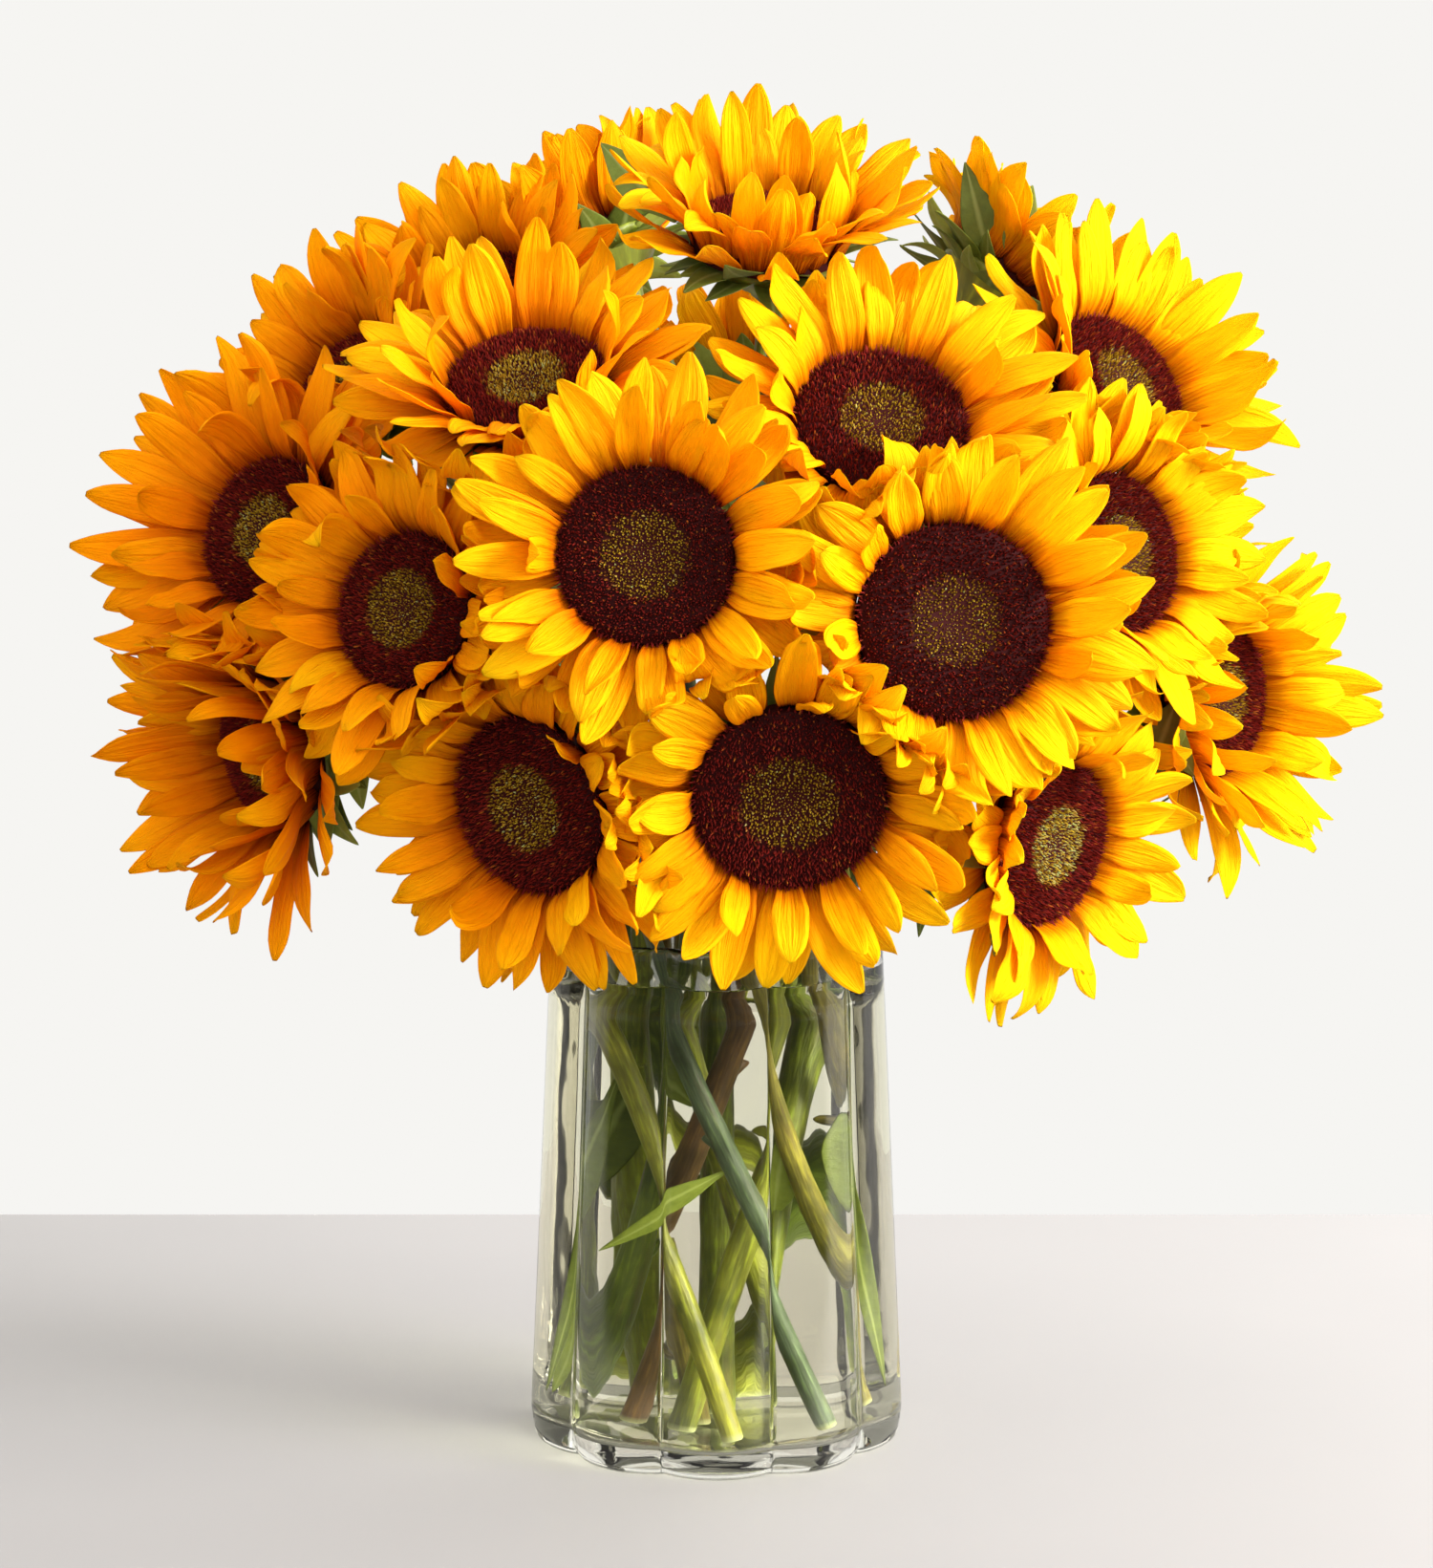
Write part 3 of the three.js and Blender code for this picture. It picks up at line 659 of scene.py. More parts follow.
def table_material(look):
    """A matt painted table top: pale grey and hardly uneven, with painted shade that makes it darker towards
    the front, where the light falls off.

    The glass shows it black in front of the vase: a painted dark reflection, as if a black cloth lay there to
    keep glare off.
    """
    material, tree, output = new_material("Matt painted table top")
    where = add_node(tree, "ShaderNodeTexCoord")
    mottle = add_node(
        tree,
        "ShaderNodeTexNoise",
        {"Vector": where.outputs["Object"], "Scale": per_metre(UNEVENNESS), "Detail": 4.0},
    )
    colour = add_node(
        tree,
        "ShaderNodeMix",
        {"Factor": mottle.outputs["Fac"], "A": tuple(look.table_colour), "B": srgb("#9B9999")},
        data_type="RGBA",
    )
    place = add_node(tree, "ShaderNodeSeparateXYZ", {"Vector": where.outputs["Object"]})
    # Painted shade: the top is made darker towards the front, where the light falls off.
    front_shade_mask = add_node(
        tree,
        "ShaderNodeMapRange",
        {"Value": place.outputs["Y"], "From Min": 0.25, "From Max": -0.5, "To Min": 0.0, "To Max": 0.5},
    )
    painted_front_shade = add_node(
        tree,
        "ShaderNodeMix",
        {"Factor": front_shade_mask.outputs["Result"], "A": colour.outputs["Result"], "B": srgb("#6E6C6A")},
        data_type="RGBA",
    )
    shader = add_node(
        tree, "ShaderNodeBsdfPrincipled", {"Base Color": painted_front_shade.outputs["Result"], "Roughness": 0.6}
    )
    # Painted dark reflection: in front of the vase, the glass mirrors and lets through the table as black.
    painted_dark_reflection = add_node(tree, "ShaderNodeBsdfDiffuse", {"Color": srgb("#1C1C1C")})
    in_front = add_node(
        tree,
        "ShaderNodeMapRange",
        {"Value": place.outputs["Y"], "From Min": -0.08, "From Max": -0.16, "To Min": 0.0, "To Max": 1.0},
    )
    shown = add_node(
        tree, "ShaderNodeMath", {0: glass_view(tree), 1: in_front.outputs[0]}, operation="MULTIPLY"
    )
    mix = add_node(
        tree, "ShaderNodeMixShader", {"Fac": shown.outputs[0], 1: shader.outputs[0], 2: painted_dark_reflection.outputs[0]}
    )
    tree.links.new(mix.outputs[0], output.inputs["Surface"])
    return material


# ---- Meshes ----
def finished(name, bm, material, nodes, smooth=True):
    """Scales a mesh to metres and makes it a piece that stands for the CAD's nodes."""
    bmesh.ops.scale(bm, vec=(MM, MM, MM), verts=bm.verts)
    for face in bm.faces:
        face.smooth = smooth
    mesh = bpy.data.meshes.new(name)
    bm.to_mesh(mesh)
    bm.free()
    mesh.materials.append(material)
    piece = bpy.data.objects.new(name, mesh)
    bpy.context.scene.collection.objects.link(piece)
    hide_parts(*nodes)
    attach(piece, "root")
    return piece


def thicken(piece, thickness):
    """Gives a thin sheet its thickness, then rounds it off."""
    solid = piece.modifiers.new("Thickness", "SOLIDIFY")
    solid.thickness = thickness * MM
    solid.offset = 0
    round_off(piece)


def round_off(piece):
    """Rounds off a piece's facets with one step of subdivision."""
    smooth = piece.modifiers.new("Rounding", "SUBSURF")
    smooth.levels = 1
    smooth.render_levels = 1


def smoothstep(low, high, value):
    """0 up to low, 1 from high on, and a smooth rise between. It falls where low is above high."""
    t = min(1.0, max(0.0, (value - low) / (high - low)))
    return t * t * (3 - 2 * t)


# ---- A flower's node in the CAD, its own axes and its cell ----
def cad_node(kind, flower):
    """The CAD's node for a flower's petals or disc, which are one bloom in those that are turned away."""
    if int(flower.id) < FIRST_TURNED_AWAY:
        return kind + "_" + flower.id
    return "bloom_" + flower.id


def head_matrix(flower):
    """The head's own axes: x and y span its disc, z is the way it faces, and 0 is the disc's centre."""
    azimuth = math.radians(flower.azimuth)
    elevation = math.radians(flower.elevation)
    out = Vector(
        (
            math.sin(azimuth) * math.cos(elevation),
            -math.cos(azimuth) * math.cos(elevation),
            math.sin(elevation),
        )
    )
    side = Vector((0, 0, 1)).cross(out).normalized()
    turn = Matrix((side, out.cross(side), out)).transposed()
    return Matrix.Translation(flower.at) @ turn.to_4x4()


def cell_of(flower, matrix):
    """The planes between a flower and its neighbours, in its own axes: it keeps to normal . p <= limit."""
    turn = matrix.to_3x3().transposed()
    cell = []
    for other in FLOWERS:
        apart = Vector(other.at) - Vector(flower.at)
        if other.id == flower.id or apart.length >= CELL_REACH:
            continue
        share = apart.length * flower.disc / (flower.disc + other.disc)
        cell.append((turn @ apart.normalized(), share - CELL_MARGIN))
    return cell


def bed_height(share):
    """The florets' bed over the disc's plane, at a share of the disc's radius."""
    for (near, low), (far, high) in zip(BED, BED[1:]):
        if share <= far:
            return low + (high - low) * (share - near) / (far - near)
    return BED[-1][1]


# ---- Blades: petals and bracts ----
def spine_of(cell, disc, angle, start, height, lean, curl, tip_curl, sway, length, clearance, pressed_curl):
    """Walks out from a blade's root. Where it meets a neighbour's space it turns up along it and curls on."""
    away = Vector((math.cos(angle), math.sin(angle), 0))
    out = Vector((0, 0, 1))
    across = out.cross(away)
    heading = away * math.cos(lean) + out * math.sin(lean)
    point = away * start + out * height
    step = length / SPINE_STEPS
    stations = [(point.copy(), heading.copy())]
    pressed = 0.0
    for k in range(1, SPINE_STEPS + 1):
        # The steps' shares of tip_curl add up to 1, and most of it falls near the tip.
        bend = curl + tip_curl * 3 * (k / SPINE_STEPS) ** 2 + pressed * pressed_curl
        heading.rotate(Quaternion(across, -bend / SPINE_STEPS))
        heading.rotate(Quaternion(out, sway / SPINE_STEPS))
        for normal, limit in cell if k > ROOT_STEPS else ():
            over = normal.dot(point + heading * step) - limit + clearance
            if over <= 0:
                continue
            heading -= normal * (over / step)
            lost = math.sqrt(max(0.0, 1 - heading.length_squared))
            along = out - normal * normal.dot(out)
            heading += along.normalized() * lost
            heading.normalize()
            pressed = 1.0
        point = point + heading * step
        share = math.hypot(point.x, point.y) / disc
        if share < 1.02 and height > BRACTS_BELOW:
            point.z = max(point.z, bed_height(share) + ABOVE_FLORETS)
        stations.append((point.copy(), heading.copy()))
    return stations, across


def at_share(stations, v):
    """The point and the heading at a share of the way along a spine."""
    k = min(int(v * SPINE_STEPS), SPINE_STEPS - 1)
    part = v * SPINE_STEPS - k
    (near, first), (far, second) = stations[k], stations[k + 1]
    return near.lerp(far, part), first.lerp(second, part).normalized()


def petal_width(v):
    """A petal's width at a share of its length: broad, with a short point."""
    return (0.56 + 0.44 * smoothstep(0, 0.3, v)) * (1.0 - 0.95 * v**4.4) ** 0.72


def bract_width(v):
    """A bract's width at a share of its length: broad at the root, and drawn out to a fine point."""
    return (0.75 + 0.25 * smoothstep(0, 0.3, v)) * (1.0 - 0.97 * v**2.2) ** 1.1


def leaf_width(v):
    """A leaf's width at a share of its length: narrow at both ends."""
    return (0.12 + 0.88 * smoothstep(0, 0.4, v)) * (1.0 - 0.97 * v**2.0)


def add_blade(bm, segments, spine, width, width_at, cell, rng, tone, cup, groove, twist):
    """One petal, bract or leaf: a grid laid along its spine, cupped, pleated, twisted and ruffled."""
    stations, across = spine
    tone_layer = bm.verts.layers.float["tone"]
    roll = math.radians(rng.uniform(-10, 10))
    phase = rng.uniform(0, math.tau)
    waves = rng.uniform(1.2, 2.4)
    lopsided = rng.uniform(-0.8, 0.8)
    ruffle = rng.uniform(0.3, 1.7) * groove
    cup_root, cup_tip = cup
    grid = bmesh.ops.create_grid(bm, x_segments=segments[0], y_segments=segments[1], size=1, calc_uvs=True)
    for vert in grid["verts"]:
        u = vert.co.x
        v = (vert.co.y + 1) / 2
        point, heading = at_share(stations, v)
        side = across - heading * heading.dot(across)
        side.normalize()
        side.rotate(Quaternion(heading, roll + twist * v * v))
        face = heading.cross(side)
        half = width * width_at(v) / 2
        fade = math.sin(math.pi * min(1.0, v * 0.9 + 0.08))
        rise = half * u * u * (cup_root + (cup_tip - cup_root) * v)
        rise += groove * math.cos(3 * math.pi * u + lopsided) * fade
        rise += ruffle * u * abs(u) * math.sin(waves * math.tau * v + phase) * smoothstep(0.1, 0.5, v)
        point = point - side * (u * half) + face * rise
        for normal, limit in cell:
            over = normal.dot(point) - limit - BLADE_OVERLAP
            if over > 0:
                point -= normal * over
        vert.co = point
        vert[tone_layer] = tone


def new_blades():
    """An empty mesh with the layers that blades use."""
    bm = bmesh.new()
    bm.loops.layers.uv.new("UVMap")
    bm.verts.layers.float.new("tone")
    return bm


def leaf_spine(leaf):
    """Walks along a leaf's middle vein, which bends away from the front as it goes."""
    heading = Vector(leaf.towards).normalized()
    across = heading.cross(Vector((0, 1, 0))).normalized()
    point = Vector(leaf.at)
    stations = [(point.copy(), heading.copy())]
    for _ in range(SPINE_STEPS):
        heading.rotate(Quaternion(across, math.radians(leaf.droop) / SPINE_STEPS))
        point = point + heading * (leaf.length / SPINE_STEPS)
        stations.append((point.copy(), heading.copy()))
    return stations, across


def make_petals(flower, material, thickness):
    """All the ray petals of one flower, in three rows."""
    habit = PETAL_HABIT
    rng = random.Random(int(flower.id) * 977)
    matrix = head_matrix(flower)
    cell = cell_of(flower, matrix)
    # Partly painted shade: the mean tone is more orange towards the left, the side away from the key light.
    shade_and_warmth = MIDDLE_TONE + SHADE_AND_TONE_GAIN * flower.at[0]
    bm = new_blades()
    for row in PETAL_ROWS:
        offset = rng.uniform(0, math.tau)
        for i in range(row.count):
            angle = offset + math.tau * (i + rng.uniform(-habit.spread, habit.spread)) / row.count
            spine = spine_of(
                cell,
                flower.disc,
                angle,
                start=flower.disc + row.start,
                height=row.height,
                lean=math.radians(rng.uniform(*row.lean) + flower.closed),
                curl=math.radians(rng.uniform(*row.curl)),
                tip_curl=math.radians(rng.gauss(*habit.tip_curl)),
                sway=math.radians(rng.uniform(-habit.sway, habit.sway)),
                length=flower.petal * rng.uniform(*row.length),
                clearance=rng.uniform(*PETAL_CLEARANCE),
                pressed_curl=math.radians(rng.uniform(*PRESSED_CURL)),
            )
            add_blade(
                bm,
                PETAL_SEGMENTS,
                spine,
                width=rng.uniform(*row.width),
                width_at=petal_width,
                cell=cell,
                rng=rng,
                tone=min(1.0, max(0.0, rng.gauss(shade_and_warmth, TONE_DEVIATION))),
                cup=(rng.uniform(0.1, 0.5), rng.uniform(-0.5, 0.45)),
                groove=habit.groove,
                twist=math.radians(rng.gauss(0, habit.twist)),
            )
    bmesh.ops.transform(bm, matrix=matrix, verts=bm.verts)
    piece = finished("ray_petals_" + flower.id, bm, material, [cad_node("petals", flower)])
    thicken(piece, thickness)


# ---- Discs ----
def new_florets():
    """An empty mesh with the layers that florets use."""
    bm = bmesh.new()
    for name in ("tip", "olive", "tone"):
        bm.verts.layers.float.new(name)
    return bm


def sewn(bm, patch):
    """Adds a patch of florets to the disc's mesh, and returns the next patch, still empty."""
    if patch:
        mesh = bpy.data.meshes.new("patch")
        patch.to_mesh(mesh)
        patch.free()
        bm.from_mesh(mesh)
        bpy.data.meshes.remove(mesh)
    return new_florets()


def add_floret(bm, matrix, olive, tone):
    """One floret: a three-sided bud that tapers to its tip."""
    layers = bm.verts.layers.float
    bud = bmesh.ops.create_cone(
        bm, cap_ends=False, segments=3, radius1=0.5, radius2=0, depth=1, matrix=matrix
    )
    base = matrix @ Vector((0, 0, -0.5))
    top = matrix @ Vector((0, 0, 0.5))
    for vert in bud["verts"]:
        vert[layers["tip"]] = 1.0 if (vert.co - top).length < (vert.co - base).length else 0.12
        vert[layers["olive"]] = olive
        vert[layers["tone"]] = tone


def make_disc(flower, material, florets):
    """A flower's disc: the bed, closed underneath, and its florets in their spirals."""
    rng = random.Random(int(flower.id) * 389)
    matrix = head_matrix(flower)
    bm = new_florets()
    profile = [(flower.disc * share * BED_SHARE, height) for share, height in BED]
    profile += [(flower.disc * share, height) for share, height in BED_BACK]
    corners = [bm.verts.new((radius, 0, height)) for radius, height in profile]
    edges = [bm.edges.new(pair) for pair in zip(corners, corners[1:])]
    bmesh.ops.spin(
        bm, geom=corners + edges, axis=(0, 0, 1), angle=math.tau, steps=BED_SIDES, use_merge=True
    )
    bmesh.ops.remove_doubles(bm, verts=bm.verts, dist=0.001)
    bmesh.ops.recalc_face_normals(bm, faces=bm.faces)
    green = GREEN_MIDDLES.get(flower.id, 0.0)
    middle = MIDDLE_SHARE + rng.uniform(-0.02, 0.03)
    patch = None
    # They stand in a sunflower's spirals, and their places, sizes and leans scatter a little.
    for i in range(florets):
        if i % FLORET_PATCH == 0:
            patch = sewn(bm, patch)
        share = min(0.995, math.sqrt((i + 0.5) / florets) + rng.gauss(0, 0.007))
        angle = i * GOLDEN_ANGLE + rng.gauss(0, 0.012) / max(share, 0.1)
        outer = smoothstep(middle - 0.03, middle + 0.05, share + rng.gauss(0, 0.025))
        closed = smoothstep(*CLOSED_SHARES, share)
        height = FLORET_HEIGHT + 1.1 * outer + rng.uniform(-0.4, 0.5) - 0.5 * closed
        width = FLORET_WIDTH - 0.25 * closed - 0.1 * outer
        lean = math.radians(rng.gauss(4, 9) + 24 * smoothstep(0.9, 1.0, share))
        if share > EDGE_SHARE:
            lean += math.radians(rng.uniform(8, 30))
            height += rng.uniform(0.2, 1.2)
        radius = flower.disc * share * OUTERMOST
        spot = Vector((radius, 0, bed_height(share) - 0.3))
        bud = (
            Matrix.Rotation(angle, 4, "Z")
            @ Matrix.Translation(spot)
            @ Matrix.Rotation(lean, 4, "Y")
            @ Matrix.Rotation(rng.gauss(0, 0.16), 4, "X")
            @ Matrix.Rotation(rng.uniform(0, 1.5), 4, "Z")
            @ Matrix.Diagonal((width, width, height, 1))
            @ Matrix.Translation((0, 0, 0.5))
        )
        olive = (1 - outer) * (0.55 + 0.45 * rng.random())
        tone = min(1.0, max(0.0, rng.gauss(0.45, 0.22) + 0.35 * green * (1 - outer)))
        add_floret(patch, bud, olive, tone)
    sewn(bm, patch)
    bmesh.ops.transform(bm, matrix=matrix, verts=bm.verts)
    nodes = [cad_node("disc", flower)]
    finished("disc_florets_" + flower.id, bm, material, nodes, smooth=False)


# ---- Stems ----
def on_circle(radius, degrees, z):
    """A point on a level circle about the vase's axis, its angle counted from the front to the right."""
    angle = math.radians(degrees)
    return Vector((radius * math.sin(angle), -radius * math.cos(angle), z))


def stem_path(flower, matrix):
    """Points and tangents from the cut end up to the neck behind the flower."""
    ring = STEM_RINGS[flower.ring]
    foot = on_circle(ring.foot_radius, flower.rim + ring.turn, VASE_FLOOR + 0.3)
    rim = on_circle(ring.rim_radius, flower.rim, STRAIGHT_TO)
    leaving = (rim - foot).normalized()
    foot += leaving * STEM_RADIUS * math.sqrt(1 - leaving.z**2)
    neck = matrix @ Vector((0, 0, -NECK_DROP))
    out = matrix.to_3x3() @ Vector((0, 0, 1))
    reach = (neck - rim).length
    # Above the rim it is one curve, which leaves straight on and comes in along the flower's own axis.
    bends = (rim, rim + leaving * reach * 0.36, neck - out * min(48, reach * 0.42), neck)
    straight = (rim - foot).length
    count = round(straight / STEM_STEP)
    path = [(foot, leaving), (foot + leaving * 1.6, leaving)]
    path += [(foot.lerp(rim, k / count), leaving) for k in range(1, count + 1)]
    turns = max(8, round(reach / STEM_STEP))
    for k in range(1, turns + 1):
        t = k / turns
        s = 1 - t
        a, b, c, d = bends
        point = a * s**3 + b * 3 * s * s * t + c * 3 * s * t * t + d * t**3
        tangent = (b - a) * 3 * s * s + (c - b) * 6 * s * t + (d - c) * 3 * t * t
        path.append((point, tangent.normalized()))
    return path


def swept(bm, stations, sides):
    """A tube drawn ring by ring through stations of (point, tangent, radius), closed at both ends.

    Its grain attribute is a place on the unit circle and the way along it, for patterns that follow it.
    """
    grain = bm.verts.layers.float_vector["grain"]
    across = Vector((1, 0, 0))
    last = None
    along = stations[0][0].x / GRAIN_LENGTH
    for point, tangent, radius in stations:
        across = (across - tangent * across.dot(tangent)).normalized()
        other = tangent.cross(across)
        turn = Matrix((across * radius, other * radius, tangent * radius)).transposed().to_4x4()
        here = Matrix.Translation(point) @ turn
        if last is None:
            ring = bmesh.ops.create_circle(bm, cap_ends=True, segments=sides, radius=1)["verts"]
            bmesh.ops.scale(bm, vec=(0.93, 0.93, 1), verts=ring[::2])
            bmesh.ops.transform(bm, matrix=here, verts=ring)
            edges = list({edge for vert in ring for edge in vert.link_edges})
        else:
            grown = bmesh.ops.extrude_edge_only(bm, edges=edges)["geom"]
            ring = [item for item in grown if isinstance(item, bmesh.types.BMVert)]
            edges = [item for item in grown if isinstance(item, bmesh.types.BMEdge)]
            bmesh.ops.transform(bm, matrix=here @ last.inverted(), verts=ring)
            along += (here.translation - last.translation).length / GRAIN_LENGTH
        back = here.inverted()
        for vert in ring:
            local = back @ vert.co
            vert[grain] = (local.x, local.y, along)
        last = here
    bmesh.ops.contextual_create(bm, geom=edges)


def make_stem(flower, material):
    """A stem from its cut end to the cup behind the disc, with the stubs and scars of its leaves."""
    rng = random.Random(int(flower.id) * 613)
    matrix = head_matrix(flower)
    out = matrix.to_3x3() @ Vector((0, 0, 1))
    path = stem_path(flower, matrix)
    thickness = STEM_RADIUS * rng.uniform(*STEM_SHARE)
    if flower.at[1] > 0 or flower.ring in ("inner", "centre"):
        thickness *= SLENDER
    bm = bmesh.new()
    bm.verts.layers.float_vector.new("grain")
    tint_layer = bm.verts.layers.float.new("tint")
    cut_layer = bm.verts.layers.float.new("cut")
    stations = []
    for point, tangent in path:
        swell = 1 + 0.05 * noise.noise(point * 0.05)
        stations.append((point, tangent, thickness * swell))
    stations[-1] = (*path[-1], NECK_RADIUS)
    for height, share in CUP:
        stations.append((matrix @ Vector((0, 0, height)), out, flower.disc * share))
    swept(bm, stations, STEM_SIDES)
    for _ in range(rng.choice(STUB_COUNTS)):
        point, tangent = path[rng.randrange(3, len(path) - 4)]
        inwards = Vector((-point.x, -point.y, 0)).normalized()
        if inwards.length < 0.5:
            inwards = Vector((0, -1, 0))
        sideways = inwards.copy()
        sideways.rotate(Quaternion((0, 0, 1), rng.uniform(-1.4, 1.4)))
        grows = (sideways + tangent * rng.uniform(0.7, 1.5)).normalized()
        length = thickness + rng.choice(STUB_LENGTHS)
        base = rng.uniform(1.6, 2.3)
        stub = [
            (point - grows * 0.5, grows, base * 1.25),
            (point + grows * (length * 0.72), grows, base),
            (point + grows * length, grows, base * 0.85),
        ]
        swept(bm, stub, STUB_SIDES)
    tint = STEM_TINTS.get(flower.id, rng.choice(OTHER_TINTS))
    foot = path[0][0]
    for vert in bm.verts:
        vert[tint_layer] = tint
        vert[cut_layer] = 1.0 if (vert.co - foot).dot(path[0][1]) < 0.5 else 0.0
    bmesh.ops.recalc_face_normals(bm, faces=bm.faces)
    piece = finished("stem_" + flower.id, bm, material, ["stalk_" + flower.id])
    round_off(piece)


def make_bracts(flower, material):
    """The green bracts behind a flower, in two rows, with curled points."""
    habit = BRACT_HABIT
    rng = random.Random(int(flower.id) * 251)
    matrix = head_matrix(flower)
    cell = cell_of(flower, matrix)
    bm = new_blades()
    for row in BRACT_ROWS:
        offset = rng.uniform(0, math.tau)
        for i in range(row.count):
            angle = offset + math.tau * (i + rng.uniform(-habit.spread, habit.spread)) / row.count
            start = flower.disc * row.start
            spine = spine_of(
                cell,
                flower.disc,
                angle,
                start=start,
                height=row.height,
                lean=math.radians(rng.uniform(*row.lean)),
                curl=math.radians(rng.uniform(*row.curl)),
                tip_curl=math.radians(rng.gauss(*habit.tip_curl)),
                sway=math.radians(rng.uniform(-habit.sway, habit.sway)),
                length=flower.disc - start + rng.uniform(*row.length),
                clearance=BRACT_CLEARANCE,
                pressed_curl=0,
            )
            add_blade(
                bm,
                BRACT_SEGMENTS,
                spine,
                width=rng.uniform(*row.width),
                width_at=bract_width,
                cell=cell,
                rng=rng,
                tone=rng.random(),
                cup=(0.35, rng.uniform(-0.2, 0.5)),
                groove=habit.groove,
                twist=math.radians(rng.gauss(0, habit.twist)),
            )
    bmesh.ops.transform(bm, matrix=matrix, verts=bm.verts)
    piece = finished("bracts_" + flower.id, bm, material, ["stalk_" + flower.id])
    thicken(piece, BRACT_THICKNESS)


def make_leaf(number, leaf, material):
    """One leaf, which touches a stem, a bract or a petal."""
    rng = random.Random(number * 71)
    bm = new_blades()
    add_blade(
        bm,
        LEAF_SEGMENTS,
        leaf_spine(leaf),
        width=leaf.width,
        width_at=leaf_width,
        cell=(),
        rng=rng,
        tone=leaf.tone,
        cup=LEAF_CUP,
        groove=LEAF_GROOVE,
        twist=math.radians(rng.uniform(-LEAF_TWIST, LEAF_TWIST)),
    )
    piece = finished(f"leaf_{number:02d}", bm, material, ["stalk_" + leaf.flower])
    thicken(piece, LEAF_THICKNESS)


# ---- Vase and water ----
def fluted_radius(radius, bulge, soft, angle):
    """A fluted wall's radius at an angle from the front. soft rounds off the groove between two lobes."""
    lobe = math.tau / LOBES
    off = abs((angle + lobe / 2) % lobe - lobe / 2)
    arc = radius * bulge
    centre = radius - arc
    here, beside = (
        centre * math.cos(turn) + math.sqrt(max(0.0, arc**2 - (centre * math.sin(turn)) ** 2))
        for turn in (off, lobe - off)
    )
    near = max(0.0, soft - (here - beside)) / soft
    return here + near * near * soft / 4


def fluted_skin(levels):
    """A closed skin through fluted rings of (radius, bulge, soft, z), from the lower pole to the upper."""
    bm = bmesh.new()
    count = LOBES * POINTS_PER_LOBE
    ring = bmesh.ops.create_circle(bm, cap_ends=False, segments=count, radius=1)["verts"]
    edges = list(bm.edges)
    lobe = math.tau / LOBES
    # The points crowd towards the grooves, where the wall turns sharply.
    for vert in ring:
        angle = math.atan2(vert.co.x, -vert.co.y) % math.tau
        middle = round(angle / lobe) * lobe
        crowded = math.sin((angle - middle) / lobe * math.pi) * lobe / 2
        vert.co = (math.sin(middle + crowded), -math.cos(middle + crowded), 0)
    first = ring
    for k, (radius, bulge, soft, z) in enumerate(levels):
        if k:
            grown = bmesh.ops.extrude_edge_only(bm, edges=edges)["geom"]
            ring = [item for item in grown if isinstance(item, bmesh.types.BMVert)]
            edges = [item for item in grown if isinstance(item, bmesh.types.BMEdge)]
        for vert in ring:
            angle = math.atan2(vert.co.x, -vert.co.y)
            out = fluted_radius(radius, bulge, soft, angle)
            vert.co = (out * math.sin(angle), -out * math.cos(angle), z)
    bmesh.ops.pointmerge(bm, verts=ring, merge_co=(0, 0, levels[-1][3]))
    bmesh.ops.pointmerge(bm, verts=first, merge_co=(0, 0, levels[0][3]))
    bmesh.ops.recalc_face_normals(bm, faces=bm.faces)
    return bm


def outer_radius(z):
    """The wall's outer radius on its straight taper, at a height."""
    return BELLY_RADIUS + (RIM_RADIUS - BELLY_RADIUS) * (z - BELLY_HEIGHT) / (VASE_HEIGHT - BELLY_HEIGHT)


def inner_levels(grow):
    """The vase's inside from its floor's middle up to the rim, moved into the glass by grow."""
    levels = [
        (1, 1, VASE_FLOOR + 0.7),
        (16, 1, VASE_FLOOR + 0.6),
        (34, 1, VASE_FLOOR + 0.2),
        (48, 0.8, VASE_FLOOR),
        (57, 0.6, VASE_FLOOR + 0.1),
        (61.5, INNER_BULGE, VASE_FLOOR + 0.9),
        (64.1, INNER_BULGE, VASE_FLOOR + 2.6),
        (65.1, INNER_BULGE, VASE_FLOOR + 5),
    ]
    levels += [(outer_radius(z) - WALL, INNER_BULGE, z) for z in (24, 60, 100, 140, 165)]
    return [(radius + grow, bulge, INNER_SOFT, z - grow) for radius, bulge, z in levels]


def make_vase(material):
    """The vase: ten soft lobes, a thick base with a shallow ring beneath it, and a fire-polished rim."""
    underside = [
        (1, 1, 1, 1.5),
        (30, 1, 1, 1.4),
        (41, 1, 1, 1.2),
        (44.5, 0.95, 1, 0.3),
        (47, 0.8, 1, 0.0),
        (FOOT_RADIUS, 0.42, OUTER_SOFT, 0.0),
        (66.0, 0.4, OUTER_SOFT, 0.6),
        (67.6, OUTER_BULGE, OUTER_SOFT, 1.8),
        (68.4, OUTER_BULGE, OUTER_SOFT, 3.4),
        (69.3, OUTER_BULGE, OUTER_SOFT, 7),
        (BELLY_RADIUS, OUTER_BULGE, OUTER_SOFT, BELLY_HEIGHT),
    ]
    wall = [(outer_radius(z), OUTER_BULGE, OUTER_SOFT, z) for z in (18, 40, 75, 110, 145, 172, 186, 189)]
    rim = [
        (61.35, 0.386, 1.4, 190.3),
        (60.9, 0.387, 1.6, 191.4),
        (60.0, 0.386, 2, VASE_HEIGHT),
        (59.0, 0.38, 2.4, 191.8),
        (58.3, 0.372, INNER_SOFT, 190.9),
        (58.0, INNER_BULGE, INNER_SOFT, 189.4),
    ]
    inside = list(reversed(inner_levels(0)))
    bm = fluted_skin(underside + wall + rim + inside)
    finished("fluted_vase", bm, material, ["vase"])


